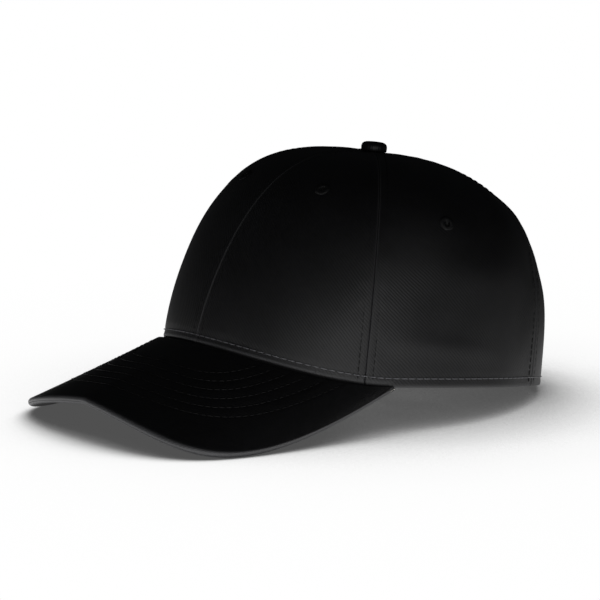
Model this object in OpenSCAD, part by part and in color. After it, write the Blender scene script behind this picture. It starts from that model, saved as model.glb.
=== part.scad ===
// Six-panel baseball cap with a curved brim and a strap closure, standing on a table.
// It is drawn upright, front towards -Y and wearer's left towards +X, then leaned back
// until it rests on the two brim corners and on the hem beside the rear opening.

/* [Crown] */
// Front-to-back length of the crown at its rim, outside
crown_len = 201.5; // [185:0.5:220]
// Width of the crown at its rim, outside
crown_wid = 176; // [160:1:190]
// Height of the crown above the rim at the rear
crown_h = 111.7; // [95:0.1:125]
// Fullness of the plan section, front (smaller stands wider)
plan_front = 0.68; // [0.6:0.02:0.9]
// Fullness of the plan section, sides
plan_side = 0.6; // [0.5:0.05:0.9]
// Fullness of the plan section, back
plan_back = 1.5; // [1.2:0.05:1.7]
// Rise of the front wall (larger leans further back)
rise_front = 1.45; // [1:0.05:1.6]
// Rise of the side walls
rise_side = 0.48; // [0.4:0.02:0.7]
// Rise of the back wall
rise_back = 0.68; // [0.6:0.02:0.8]
// Angle of the side seams from the front seam
side_seam = 57.6; // [52:0.2:62]
// Lift of the rim over the forehead
rim_lift = 13.7; // [6:0.1:18]
// Angle at which the forehead lift has run out
rim_lift_to = 66.8; // [58:0.2:72]
// Rise of the rim over the ears
rim_side_rise = 5.7; // [2:0.1:9]
// Drop of the rim towards the rear opening
rim_tail_drop = 4.4; // [0:0.1:6]

/* [Cloth] */
// Thickness of the crown's twill
cloth_t = 0.9; // [0.6:0.05:1.2]
// Thickness of the buckram behind the front panels
buckram_t = 0.8; // [0.5:0.05:1]
// Thickness of the seam tape
tape_t = 0.5; // [0.3:0.05:0.6]
// Width of the seam tape
tape_w = 12; // [10:0.5:16]
// Gap between layers of cloth that are sewn together
ply_gap = 0.3; // [0.25:0.05:0.4]
// Gap between neighbouring panels at a seam
seam_gap = 0.2; // [0.1:0.05:0.4]
// Thickness of the sweatband
sweat_t = 1.2; // [0.8:0.1:1.6]
// Height of the sweatband
sweat_h = 31; // [25:0.5:36]
// Height of the brim cover's edge that is sewn up inside the rim
brim_tuck_h = 8; // [6:0.5:10]

/* [Brim] */
// Reach of the brim in front of the crown
brim_reach = 63.5; // [52:0.5:74]
// Drop of the brim's tip below the rim
brim_tip_drop = 28; // [20:0.5:36]
// Half width of the brim's front sweep (handle of its curve)
brim_sweep = 86; // [72:0.5:94]
// Further drop along the front sweep
brim_sweep_drop = 8.4; // [4:0.2:12]
// Half width at the brim's corners (handle of its curve)
brim_corner = 81.5; // [74:0.5:90]
// Reach of the brim's corners in front of the crown
brim_corner_reach = 39.8; // [30:0.2:48]
// Drop of the brim's corners below the level of the rear rim
brim_corner_drop = 48; // [36:0.5:52]
// Angle from the front seam at which the brim ends
brim_end = 66.9; // [60:0.1:72]
// Thickness of the stiff board in the brim
board_t = 2; // [1.5:0.1:2.6]
// Thickness of the brim's covers
brim_cover_t = 0.8; // [0.5:0.05:1]
// Gap between the board and its covers
brim_ply_gap = 0.15; // [0.05:0.01:0.2]

/* [Button and eyelets] */
// Diameter of the covered button
button_d = 13; // [11:0.5:16]
// Height of the covered button
button_h = 4.6; // [3.5:0.1:6]
// Diameter of the button's rivet
rivet_d = 2.6; // [2:0.1:3.2]
// Diameter of the disc that holds the rivet inside
rivet_disc_d = 11; // [8:0.5:14]
// Thickness of the button's sheet metal
button_metal_t = 0.6; // [0.4:0.1:0.9]
// Outer diameter of the sewn eyelets
eyelet_d = 7.2; // [6:0.2:9]
// Diameter of the hole through the sewn eyelets
eyelet_hole_d = 2.2; // [1.6:0.1:3]
// Thread build-up of the eyelets over the cloth
eyelet_bead = 0.8; // [0.5:0.1:1.2]
// Wall of thread round the eyelet's hole
eyelet_wall = 0.7; // [0.5:0.05:1]
// Angle of the front eyelets from the front seam
eyelet_front_at = 32.2; // [26:0.2:36]
// Height of the front eyelets above the rim
eyelet_front_z = 84.5; // [70:0.5:88]
// Angle of the side eyelets from the front seam
eyelet_side_at = 80.4; // [76:0.2:100]
// Height of the side eyelets above the rim
eyelet_side_z = 78.8; // [66:0.5:84]
// Angle of the back eyelets from the front seam
eyelet_back_at = 150; // [142:0.5:158]
// Height of the back eyelets above the rim
eyelet_back_z = 78; // [68:0.5:84]

/* [Rear opening] */
// Half width of the arched opening
arch_r = 38; // [34:0.5:42]
// Height of the arch's centre above the rim plane
arch_z = 9; // [5:0.5:12]
// Thickness of the binding round the arch
binding_t = 0.4; // [0.3:0.05:0.6]
// Width of the binding on each face of the cloth
binding_w = 6; // [4:0.5:8]

/* [Strap closure] */
// Width of the strap
strap_w = 20; // [16:0.5:22]
// Thickness of the strap
strap_t = 1.2; // [0.9:0.1:1.6]
// Height of the strap's lower edge above the rim plane
strap_z = 4.6; // [4:0.1:6]
// How far the strap runs on inside the back panels, past the arch
strap_tuck = 19; // [16:0.5:21]
// Gap between the strap and what it slides past
slide_gap = 0.35; // [0.3:0.05:0.5]
// Thickness of one ply of the loop that holds the buckle
loop_t = 0.5; // [0.4:0.05:0.6]
// How far the loop runs on inside the back panel, past the arch
loop_tuck = 23; // [18:0.5:26]
// Thickness of the buckle's sheet metal
buckle_t = 0.8; // [0.6:0.05:1]
// How far the buckle stays clear of the arch's side
buckle_clear = 7; // [5:0.5:9]
// Length of the buckle
buckle_len = 29; // [26:0.5:32]
// Diameter of the buckle's bar
bar_d = 2; // [1.6:0.1:2.2]
// Diameter of the clasp's pin
pin_d = 2; // [1.6:0.1:2.2]
// Radial clearance of the clasp's pin in the lever
pin_gap = 0.05; // [0.03:0.01:0.08]
// Wall of the clasp's knuckle round its pin
knuckle_wall = 0.95; // [0.7:0.05:1.2]
// How far the clasp's cam stands out of its knuckle
cam_h = 0.7; // [0.4:0.1:0.9]
// Reach of the lever's finger lip past the buckle
lever_lip = 2.5; // [1:0.1:4]

/* [Hidden] */

half_l = crown_len / 2;
half_w = crown_wid / 2;
back_seam = 180 - side_seam;       // the rear seams run on from the opposite side seams
tip = 0.97;                        // share of the way up at which the panels stop
panel_rows = 16;                   // steps of a panel from the rim to the top
panel_step = 5;                    // degrees between a panel's columns
brim_cols = 40;                    // steps along the brim
cut = 60;                          // length of a tool that cuts right through
$fn = 48;

// Depths below the crown's outer face, layer by layer
buckram_in = cloth_t + ply_gap;
lining_in = buckram_in + buckram_t + ply_gap;
tape_in = cloth_t + ply_gap;
tuck_in = lining_in;
sweat_in = tuck_in + brim_cover_t + ply_gap;
binding_in = cloth_t + ply_gap;
loop_in = binding_in + binding_t + ply_gap;
loop_plies = 2 * loop_t;
strap_in = loop_in + loop_plies + slide_gap;
sweat_back_in = strap_in + strap_t + 2 * slide_gap;

// ---- The crown's form ----

// A value that runs from the front over the sides to the back
function around(th, front, side, back) =
    let (c = cos(th), end = c > 0 ? front : back)
    side + (end - side) * c * c;

// 0 below a, 1 above b, smooth between
function smooth(v, a, b) =
    let (u = min(1, max(0, (v - a) / (b - a))))
    u * u * (3 - 2 * u);

function plan(th) = around(th, plan_front, plan_side, plan_back);
function rise(th) = around(th, rise_front, rise_side, rise_back);

// Height of the rim: lifted over the forehead and the ears, low beside the rear opening
function rim_z(th) =
    rim_lift * pow(1 - pow(min(1, abs(th) / rim_lift_to), 2), 2)
    + rim_side_rise * pow(sin(th), 2)
    - rim_tail_drop * pow(max(0, -cos(th)), 6);

// Share of the rim's radius that is left at share h of the height
function spread(th, h) = pow(max(0, 1 - pow(h, 2 / rise(th))), plan(th) / 2);

// Point at angle th and at share h of the height, on the layer at depth in
function crown_at(th, h, in = 0) =
    let (r = spread(th, h), z = rim_z(th))
    [(half_w - in) * sin(th) * r, -(half_l - in) * cos(th) * r, z + (crown_h - in - z) * h];

// Share of the height that spaces rings evenly along the wall, for t from 0 to 1
function even(th, t) =
    let (up = pow(t, 1 / rise(th)), down = pow(1 - t, 1 / plan(th)))
    pow(sin(90 * up / (up + down)), rise(th));

// Share of the height that lies z above the rim
function share(th, z, in = 0) = z / (crown_h - in - rim_z(th));

// Point at angle th and z above the rim
function wall_at(th, z, in = 0) = crown_at(th, share(th, z, in), in);

// Unit vector square to the crown's face at angle th and height z above the rim
function outward(th, z) =
    let (a = wall_at(th + 1, z) - wall_at(th - 1, z), b = wall_at(th, z + 1) - wall_at(th, z - 1))
    unit(cross(a, b));

function unit(v) = v / norm(v);
function flip_x(p, side) = [side * p[0], p[1], p[2]];

// Angle of the rear wall's point that lies x from the middle at height z
function rear_angle(x, z, in, th = 155, turns = 6) =
    turns == 0 ? th :
    let (r = (half_w - in) * spread(th, max(0, share(th, z - rim_z(th), in))))
    rear_angle(x, z, in, 180 - asin(min(1, x / r)), turns - 1);

// Point of the rear wall at depth in, x from the middle and at height z
function rear_at(x, z, in) =
    let (th = rear_angle(abs(x), z, in), p = wall_at(th, max(0, z - rim_z(th)), in))
    [x, p[1], z];

// ---- The brim's form ----

brim_half_t = board_t / 2 + brim_ply_gap + brim_cover_t;
brim_last = 0.993;                 // share of the brim's sweep at which its ends are cut
brim_seat = 0.3 * brim_half_t;     // how far the brim's middle lies below the rim at its root
brim_taper = 3 * brim_half_t;      // width under which the brim's ends grow thinner

// Curve of the brim's outer edge over one half, from the tip (u = 0) to the crown (u = 1)
edge_tip = [0, -half_l - brim_reach, rim_z(0) - brim_tip_drop];
edge_sweep = edge_tip + [brim_sweep, 0, -brim_sweep_drop];
edge_corner = [brim_corner, -half_l - brim_corner_reach, -brim_corner_drop];
edge_end = crown_at(brim_end, 0);

function edge_at(s) =
    let (u = abs(s), v = 1 - u,
         p = v * v * v * edge_tip + 3 * v * v * u * edge_sweep
             + 3 * v * u * u * edge_corner + u * u * u * edge_end)
    flip_x(p, s < 0 ? -1 : 1);

// Curve along which the brim meets the crown, and the brim's width there
function root_at(s) = crown_at(brim_end * s, 0, -ply_gap) - [0, 0, brim_seat];
function width_at(s) = norm(edge_at(s) - root_at(s));

// The brim keeps its thickness but for its ends, where it runs out under the rim
function slim(s) = min(1, width_at(s) / brim_taper);

// Unit vectors across the brim, and square to it at its root (v = 0) and its edge (v = 1)
function across(s) = unit(edge_at(s) - root_at(s));
function brim_up(s, v) =
    let (d = 0.01, lo = max(-1, s - d), hi = min(1, s + d),
         along = v > 0.5 ? edge_at(hi) - edge_at(lo) : root_at(hi) - root_at(lo))
    unit(cross(across(s), along));

// Point of the brim: v across it, n above its middle
function brim_at(s, v, n) =
    let (m = n * slim(s))
    (1 - v) * (root_at(s) + m * brim_up(s, 0)) + v * (edge_at(s) + m * brim_up(s, 1));

// Point of the rounded edge: radius r about a line that lies in from the edge, a degrees up
function edge_round(s, r, a) =
    edge_at(s) + slim(s) * (across(s) * (r * cos(a) - brim_half_t) + brim_up(s, 1) * r * sin(a));

// Share across the brim that lies w in from its edge
function share_from_edge(s, w) = 1 - slim(s) * w / width_at(s);

// ---- The strap's arc ----

strap_top = strap_z + strap_w;
arc_probe = 50;                    // where the arc is fitted to the rear wall
arc_mid = rear_at(0, strap_top, 0);
arc_side = rear_at(arc_probe, strap_top, 0);
arc_sag = arc_mid[1] - arc_side[1];
arc_r = (arc_probe * arc_probe + arc_sag * arc_sag) / (2 * arc_sag);
arc_y = arc_mid[1] - arc_r;

strap_ro = arc_r - strap_in;
strap_ri = strap_ro - strap_t;
arch_half = asin(arch_r / strap_ro);

// Angle of a length along the strap's arc
function arc_turn(length) = length / strap_ro * 180 / PI;

strap_half = arch_half + arc_turn(strap_tuck);
loop_end = arch_half + arc_turn(loop_tuck);
buckle_to = arch_half - arc_turn(buckle_clear);
buckle_from = buckle_to - arc_turn(buckle_len);
eye_r = bar_d / 2 + ply_gap + loop_t;
bar_at_r = strap_ro + slide_gap + eye_r;
knuckle_r = pin_d / 2 + pin_gap + knuckle_wall;
lever_t = buckle_t;
lever_ro = bar_at_r + eye_r + slide_gap + lever_t;
lever_ri = lever_ro - lever_t;
knuckle_sink = 0.85;               // share of the knuckle's radius that lies under the lever's face
pin_at_r = max(strap_ro + slide_gap + cam_h + knuckle_r, lever_ro - knuckle_sink * knuckle_r);
cam_tip = pin_at_r - strap_ro - slide_gap;
buckle_ri = strap_ri - slide_gap - buckle_t;
buckle_z = strap_z - slide_gap - buckle_t;
buckle_w = strap_w + 2 * (slide_gap + buckle_t);
lever_z = strap_z + slide_gap;
lever_w = strap_w - 2 * slide_gap;
pin_inset = 1.6;                   // knuckle radii between the buckle's end and the pin
pin_at = buckle_from + atan(pin_inset * knuckle_r / pin_at_r);
bar_at = buckle_to - atan(eye_r / bar_at_r);

// ---- How the cap stands ----

rear_foot = wall_at(rear_angle(arch_r, 0, 0), 0);
brim_low = [for (i = [0 : 50]) edge_round(i / 60, brim_half_t, -90)];
brim_side = [for (i = [0 : 50]) edge_round(i / 60, brim_half_t, -45)];
lean = max([for (p = concat(brim_low, brim_side))
            atan2(rear_foot[2] - p[2], rear_foot[1] - p[1])]);

function leaned(p) =
    let (y = p[1] - rear_foot[1], z = p[2] - rear_foot[2])
    [p[0], y * cos(lean) + z * sin(lean), z * cos(lean) - y * sin(lean)];

front_y = min([for (i = [0 : 20]) leaned(edge_round(i / 60, brim_half_t, 0))[1]]);
rear_y = max([for (i = [0 : 20]) leaned(wall_at(180, crown_h * i / 40))[1]]);
origin_y = (front_y + rear_y) / 2;

// Leans the upright cap back onto the table, with the origin under the middle of its box
module stand()
    translate([0, -origin_y, 0])
    rotate([-lean, 0, 0])
    translate([0, -rear_foot[1], -rear_foot[2]])
    children();

// ---- Builders ----

// A closed sheet between an outer and an inner grid of points. Seen from outside, the rows
// run up and each row's points run to the right.
module sheet(outer, inner) {
    rows = len(outer);
    cols = len(outer[0]);
    count = rows * cols;
    function at(i, j) = i * cols + j;
    function back(i, j) = count + i * cols + j;
    function quad(a, b, c, d) = [[a, b, c], [a, c, d]];
    faces = [
        for (i = [0 : rows - 2], j = [0 : cols - 2]) each concat(
            quad(at(i, j), at(i + 1, j), at(i + 1, j + 1), at(i, j + 1)),
            quad(back(i, j), back(i, j + 1), back(i + 1, j + 1), back(i + 1, j))),
        for (j = [0 : cols - 2]) each concat(
            quad(at(0, j), at(0, j + 1), back(0, j + 1), back(0, j)),
            quad(at(rows - 1, j + 1), at(rows - 1, j), back(rows - 1, j), back(rows - 1, j + 1))),
        for (i = [0 : rows - 2]) each concat(
            quad(at(i + 1, 0), at(i, 0), back(i, 0), back(i + 1, 0)),
            quad(at(i, cols - 1), at(i + 1, cols - 1), back(i + 1, cols - 1), back(i, cols - 1)))];
    polyhedron(points = [each each outer, each each inner], faces = faces, convexity = 8);
}

// Grid of the crown between two seams, from ring t0 to ring t1, kept gap clear of both seams
function gore(from, to, in, gap, t0 = 0, t1 = tip) =
    let (cols = ceil((to - from) / panel_step))
    [for (i = [0 : panel_rows])
        let (t = t0 + (t1 - t0) * i / panel_rows)
        [for (j = [0 : cols])
            let (mid = from + (to - from) * j / cols,
                 p = crown_at(mid, even(mid, t), in),
                 inset = asin(min(0.9, gap / norm([p[0], p[1]]))),
                 th = from + inset + (to - from - 2 * inset) * j / cols)
            crown_at(th, even(th, t), in)]];

// A ring-shaped block on the strap's arc between two angles, from its section in radius and height
module on_arc(from, to)
    translate([0, arc_y, 0])
    rotate([0, 0, 90 - to])
    rotate_extrude(angle = to - from, $fn = 180)
    children();

// Section with its corner at radius r and height z, w thick and h high
module section(r, z, w, h) translate([r, z]) square([w, h]);

// Places a shape on the strap's arc, its X pointing out of the cap
module at_arc(angle, r)
    translate([0, arc_y, 0])
    rotate([0, 0, 90 - angle])
    translate([r, 0, 0])
    children();

// Places a shape on the crown's face, its Z pointing outwards
module on_wall(th, z) {
    n = outward(th, z);
    translate(wall_at(th, z)) rotate([0, acos(n[2]), atan2(n[1], n[0])]) children();
}

// ---- Crown ----

eyelet_places = [[eyelet_front_at, eyelet_front_z], [eyelet_side_at, eyelet_side_z],
                 [eyelet_back_at, eyelet_back_z]];
eyelet_bore_d = eyelet_hole_d + 2 * eyelet_wall;

// Holes for the sewn eyelets
module eyelet_holes()
    for (side = [-1, 1], e = eyelet_places)
        on_wall(side * e[0], e[1])
        cylinder(h = cut / 4, d = eyelet_bore_d + ply_gap, center = true);

// The arched opening, cut through the rear wall
module arch_space(r)
    translate([0, half_l / 2, arch_z])
    rotate([-90, 0, 0])
    linear_extrude(half_l)
    union() {
        circle(r = r);
        translate([-r, 0]) square([2 * r, cut]);
    }

module panel(from, to)
    stand()
    difference() {
        sheet(gore(from, to, 0, seam_gap / 2), gore(from, to, cloth_t, seam_gap / 2));
        eyelet_holes();
    }

module front_panel(side)
    color("#1b1c1f") panel(side > 0 ? 0 : -side_seam, side > 0 ? side_seam : 0);

module side_panel(side)
    color("#1b1c1f") panel(side > 0 ? side_seam : -back_seam, side > 0 ? back_seam : -side_seam);

module back_panel(side)
    color("#1b1c1f")
    difference() {
        panel(side > 0 ? back_seam : -180, side > 0 ? 180 : -back_seam);
        stand() arch_space(arch_r);
    }

buckram_top = 0.72;                // share of the way up at which the buckram stops
buckram_low = 0.02;                // share of the way up at which it starts
buckram_edge = tape_w / 2 + 2;     // distance it keeps from the seams

module buckram(side)
    color("#2b2b2d")
    stand()
    difference() {
        from = side > 0 ? 0 : -side_seam;
        sheet(gore(from, from + side_seam, buckram_in, buckram_edge, buckram_low, buckram_top),
              gore(from, from + side_seam, buckram_in + buckram_t, buckram_edge,
                   buckram_low, buckram_top));
        eyelet_holes();
    }

// Point of a tape that crosses the top: angle of its seam, share t up that side, w off its middle
function tape_at(th, t, w, in) =
    let (h = even(th, t), p = crown_at(th, h), reach = norm([half_w * sin(th), half_l * cos(th)]),
         rho = norm([p[0], p[1]]), r = rho / reach,
         side_th = th + atan2(w, max(rho, 0.001)),
         r2 = min(1, sqrt(r * r + pow(w / reach, 2) * (1 - r * r))),
         h2 = pow(max(0, 1 - pow(r2, 2 / plan(side_th))), rise(side_th) / 2))
    crown_at(side_th, r2 > 0.999 ? h : h2, in);

tape_rows = 16;                    // steps of a tape from the rim to the top
tape_cols = 4;                     // steps across a tape
tape_foot = brim_tuck_h + 2;       // height above the rim at which the tapes start
arch_top = arch_z + arch_r + binding_w + 1;

// Ring, as a share of the way up the wall, whose points lie z above the rim
function ring_at(th, z, lo = 0, hi = 1, turns = 14) =
    let (mid = (lo + hi) / 2, low = even(th, mid) < share(th, z))
    turns == 0 ? mid : ring_at(th, z, low ? mid : lo, low ? hi : mid, turns - 1);

// Grid of a tape from seam th over the top to the opposite seam, layer deep at the crossing
function tape_grid(th, foot, far_foot, layer, t) =
    [for (i = [-tape_rows : tape_rows])
        let (near = i < 0, a = near ? th : th + 180, up = (tape_rows - abs(i)) / tape_rows,
             start = near ? foot : far_foot, share_up = start + (1 - start) * up,
             deep = tape_in + t + layer * (tape_t + ply_gap) * smooth(share_up, 0.75, 0.85))
        [for (j = [-tape_cols / 2 : tape_cols / 2])
            let (w = (near || i == 0 ? 1 : -1) * tape_w * j / tape_cols)
            tape_at(i == 0 ? th : a, share_up, w, deep)]];

// A tape sewn over the seam at th and on over the top, down the seam opposite, where it stops
// at height far_z above the rim
module tape(th, far_z, layer)
    color("#222326")
    stand()
    difference() {
        foot = ring_at(th, tape_foot);
        far_foot = ring_at(th + 180, far_z);
        sheet(tape_grid(th, foot, far_foot, layer, 0),
              tape_grid(th, foot, far_foot, layer, tape_t));
        cylinder(h = 2 * crown_h, d = rivet_d + 2 * ply_gap);
    }

module centre_seam_tape() tape(0, arch_top - rim_z(180), 0);
module cross_seam_tape(side) tape(side * side_seam, tape_foot, side > 0 ? 1 : 2);

sweat_cols = 56;                   // steps along the sweatband
sweat_rows = 4;                    // steps up the sweatband
sweat_end = rear_angle(arch_r + 1, strap_z, sweat_back_in);

// Depth of the sweatband: deeper at the back, where the strap runs behind it
function sweat_depth(th) =
    sweat_in + (sweat_back_in - sweat_in) * smooth(abs(th), back_seam - 12, back_seam + 12);

function sweat_grid(in) =
    [for (i = [0 : sweat_rows])
        [for (j = [0 : sweat_cols])
            let (th = sweat_end * (2 * j / sweat_cols - 1))
            wall_at(th, sweat_h * i / sweat_rows, sweat_depth(th) + in)]];

module sweatband()
    color("#19191b")
    stand()
    sheet(sweat_grid(0), sweat_grid(sweat_t));

// ---- Brim ----

// Place of column j along the brim, closer together towards its ends
function brim_s(j) =
    let (x = 2 * j / brim_cols - 1)
    brim_last * (0.6 * x + 0.4 * sin(90 * x));
brim_shares = [1, 0.7, 0.4, 0.1];  // rows across the brim, from its edge to its root
edge_seam = 3;                     // angle at which the covers meet on the brim's edge

// Rows of a cover: round the edge, then over the face at height n above the brim's middle
function cover_face(s, side, n) =
    let (last = share_from_edge(s, brim_half_t))
    [for (a = [edge_seam, 35, 65, 90]) edge_round(s, n, side * a),
     for (v = brim_shares) if (v < 1) brim_at(s, v * last, side * n)];

// Rows of the top cover's edge: down to the rim, under it, and up inside the crown
function tuck_face(s, in, out, drop) =
    let (th = brim_end * s, down = [0, 0, ply_gap + drop * slim(s)])
    [brim_at(s, 0.02, brim_half_t - drop),
     crown_at(th, 0, -ply_gap - out) - down, crown_at(th, 0, in) - down,
     wall_at(th, brim_tuck_h / 2, in), wall_at(th, brim_tuck_h, in)];

function by_rows(columns) = [for (i = [0 : len(columns[0]) - 1]) [for (c = columns) c[i]]];
function reversed(list) = [for (i = [len(list) - 1 : -1 : 0]) list[i]];

module brim_top_cover() {
    function grid(drop) = by_rows([for (j = [0 : brim_cols]) let (s = brim_s(j))
        concat(cover_face(s, 1, brim_half_t - drop), tuck_face(s, tuck_in + drop, drop, drop))]);
    color("#17181b") stand() sheet(grid(0), grid(brim_cover_t));
}

module brim_under_cover() {
    // Its inner edge lies under the sweatband
    function foot(s, lift) =
        let (down = 2 * (ply_gap + brim_cover_t) - lift)
        crown_at(brim_end * s, 0, sweat_in + sweat_t) - [0, 0, down * slim(s)];
    function grid(drop) = reversed(by_rows([for (j = [0 : brim_cols]) let (s = brim_s(j))
        concat(cover_face(s, -1, brim_half_t - drop), [foot(s, drop)])]));
    color("#131417") stand() sheet(grid(0), grid(brim_cover_t));
}

module brim_board() {
    function face(s, n) =
        let (last = share_from_edge(s, brim_half_t + brim_ply_gap))
        [for (v = brim_shares) brim_at(s, v * last, n)];
    top = [for (j = [0 : brim_cols]) face(brim_s(j), board_t / 2)];
    bottom = [for (j = [0 : brim_cols]) face(brim_s(j), -board_t / 2)];
    color("#d8d6cf") stand() sheet(by_rows(top), by_rows(bottom));
}

// ---- Button and eyelets ----

button_z = crown_h + ply_gap;
disc_z = crown_h - tape_in - 3 * (tape_t + ply_gap);

dome_side = 0.35;                  // share of the button's height with upright sides
dome_square = 0.45;                // smaller keeps the shoulder further out
dome_bulge = 0.8;                  // smaller lifts the shoulder

// Half section of the button's dome, t smaller all round than the full size
module dome(t) {
    r = button_d / 2 - t;
    h = button_h - t;
    polygon([[0, 0], [r * 0.9, 0], [r, h * 0.12],
             for (a = [0 : 10 : 80])
                 [r * pow(cos(a), dome_square),
                  h * (dome_side + (1 - dome_side) * pow(sin(a), dome_bulge))],
             [0, h]]);
}

module button_cover()
    color("#1b1c1f")
    stand()
    translate([0, 0, button_z])
    rotate_extrude()
    difference() {
        dome(0);
        dome(cloth_t);
        square([button_d * 0.4, cloth_t / 2]);
    }

module button_shell()
    color("#8f9194")
    stand()
    translate([0, 0, button_z])
    rotate_extrude()
    union() {
        difference() {
            translate([0, ply_gap]) dome(cloth_t + ply_gap);
            translate([0, -ply_gap]) dome(cloth_t + ply_gap + button_metal_t);
        }
        translate([0, ply_gap]) square([button_d * 0.38, button_metal_t]);
        translate([0, disc_z - button_z - button_metal_t])
            square([rivet_d / 2, button_z - disc_z + 2 * button_metal_t]);
    }

module button_back()
    color("#8f9194")
    stand()
    translate([0, 0, disc_z - button_metal_t - ply_gap])
    difference() {
        cylinder(h = button_metal_t, d = rivet_disc_d);
        translate([0, 0, -1]) cylinder(h = cut / 10, d = rivet_d + 0.06);
    }

// A ring of thread round its hole: a bead on each face of the cloth, joined through the hole
module eyelet(depth)
    rotate_extrude() {
        r0 = eyelet_hole_d / 2;
        r1 = eyelet_bore_d / 2;
        r2 = eyelet_d / 2;
        b = eyelet_bead;
        polygon([[r0, 0.5 * b], [r0 + 0.2 * b, b], [r2 - 0.8 * b, b], [r2, 2 * ply_gap],
                 [r2, 1.5 * ply_gap], [r1, ply_gap], [r1, -depth], [r2, -depth - ply_gap / 2],
                 [r2 - 0.5 * b, -depth - 0.6 * b], [r0 + 0.2 * b, -depth - 0.6 * b],
                 [r0, -depth - 0.3 * b]]);
    }

module eyelets()
    color("#1d1e21")
    stand()
    for (side = [-1, 1], e = eyelet_places)
        on_wall(side * e[0], e[1])
        eyelet((e[0] < side_seam ? buckram_in + buckram_t : cloth_t) + 2 * ply_gap);

// ---- Rear opening ----

arch_steps = 30;                   // steps round the arch
arch_length = PI * arch_r + 2 * arch_z;

// Point of the binding: share v along the arch from left to right, w into the cloth, at depth in
function arch_at(v, w, in) =
    let (d = v * arch_length, r = arch_r + w, turn = (d - arch_z) / arch_r * 180 / PI)
    d < arch_z ? rear_at(r, max(0.5, d), in) :
    d > arch_length - arch_z ? rear_at(-r, max(0.5, arch_length - d), in) :
    rear_at(r * cos(turn), arch_z + r * sin(turn), in);

module arch_binding() {
    t = binding_t;
    g = ply_gap / 2;
    outside = [[binding_w, -t - g], [0, -t - g], [-t - g, -g], [-t - g, cloth_t + g],
               [0, binding_in + t], [binding_w, binding_in + t]];
    inside = [[binding_w, -g], [g, -g], [-g, 0], [-g, cloth_t], [g, binding_in],
              [binding_w, binding_in]];
    function rows(path) = [for (i = [0 : arch_steps])
                           [for (p = path) arch_at(i / arch_steps, p[0], p[1])]];
    color("#1b1c1f") stand() sheet(rows(outside), rows(inside));
}

// ---- Strap closure ----

module strap()
    color("#1b1c1f")
    stand()
    on_arc(-strap_half, strap_half)
    section(strap_ri, strap_z, strap_t, strap_w);

// Folded loop of cloth: an eye round the buckle's bar and two plies sewn inside the panel
module buckle_loop()
    color("#1b1c1f")
    stand()
    difference() {
        union() {
            at_arc(bar_at, bar_at_r)
                translate([0, 0, lever_z + eye_inset])
                cylinder(h = lever_w - 2 * eye_inset, r = eye_r + eye_sink);
            on_arc(bar_at - arc_overlap, loop_end)
                section(strap_ro + slide_gap, lever_z, loop_plies, lever_w);
        }
        at_arc(bar_at, bar_at_r) cylinder(h = cut, d = bar_d + ply_gap);
    }

// Bent channel that the strap runs through, with the bar for the loop at its end
module buckle_frame()
    color("#9a8f7a")
    stand()
    difference() {
        union() {
            on_arc(buckle_from, buckle_to)
                difference() {
                    section(buckle_ri, buckle_z, pin_at_r + knuckle_r - buckle_ri, buckle_w);
                    section(buckle_ri + buckle_t, strap_z - slide_gap, cut, strap_w + 2 * slide_gap);
                }
            at_arc(bar_at, bar_at_r)
                translate([0, 0, buckle_z + buckle_t / 2])
                cylinder(h = buckle_w - buckle_t, d = bar_d);
        }
        at_arc(pin_at, pin_at_r) cylinder(h = cut, d = pin_d + 2 * pin_seat);
    }

pin_head_t = 0.5;                  // thickness of the pin's riveted heads
pin_seat = 0.02;                   // clearance of the pin in the frame
cam_w = 1.2;                       // width of the cam that grips the strap
eye_sink = 0.1;                    // how far the loop's eye bulges inside its plies
eye_inset = 0.1;                   // how much an eye is shorter than its plate at each end
arc_overlap = 0.2;                 // angle by which a plate on the arc runs into its eye

module buckle_pin()
    color("#9a8f7a")
    stand()
    at_arc(pin_at, pin_at_r)
    translate([0, 0, buckle_z - pin_head_t]) {
        cylinder(h = buckle_w + 2 * pin_head_t, d = pin_d);
        for (z = [0, buckle_w + pin_head_t + pin_seat])
            translate([0, 0, z]) cylinder(h = pin_head_t - pin_seat, d = 1.6 * pin_d);
    }

// Lever that closes over the buckle: its cam, beside the pin, grips the strap
module buckle_lever()
    color("#a99d86")
    stand()
    difference() {
        union() {
            on_arc(pin_at - arc_overlap, buckle_to + lever_lip)
                section(lever_ri, lever_z, lever_t, lever_w);
            at_arc(pin_at, pin_at_r)
                translate([0, 0, lever_z + eye_inset])
                linear_extrude(lever_w - 2 * eye_inset)
                union() {
                    circle(r = knuckle_r);
                    translate([-cam_tip, -cam_w / 2]) square([cam_tip, cam_w]);
                }
        }
        at_arc(pin_at, pin_at_r) cylinder(h = cut, d = pin_d + 2 * pin_gap);
    }

front_panel(1);  // front_panel_left
front_panel(-1);  // front_panel_right
side_panel(1);  // side_panel_left
side_panel(-1);  // side_panel_right
back_panel(1);  // back_panel_left
back_panel(-1);  // back_panel_right
buckram(1);  // buckram_left
buckram(-1);  // buckram_right
centre_seam_tape();
cross_seam_tape(1);  // cross_seam_tape_left
cross_seam_tape(-1);  // cross_seam_tape_right
sweatband();
brim_board();
brim_top_cover();
brim_under_cover();
arch_binding();
button_shell();
button_cover();
button_back();
eyelets();
strap();
buckle_loop();
buckle_frame();
buckle_pin();
buckle_lever();
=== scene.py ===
"""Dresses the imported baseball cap: sewn twill panels, stitched brim, rear strap and its buckle."""

import enum
import logging
import math
from collections.abc import Callable
from dataclasses import dataclass, field
from functools import cached_property

import bpy
import numpy as np
from mathutils import Matrix, Vector


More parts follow.
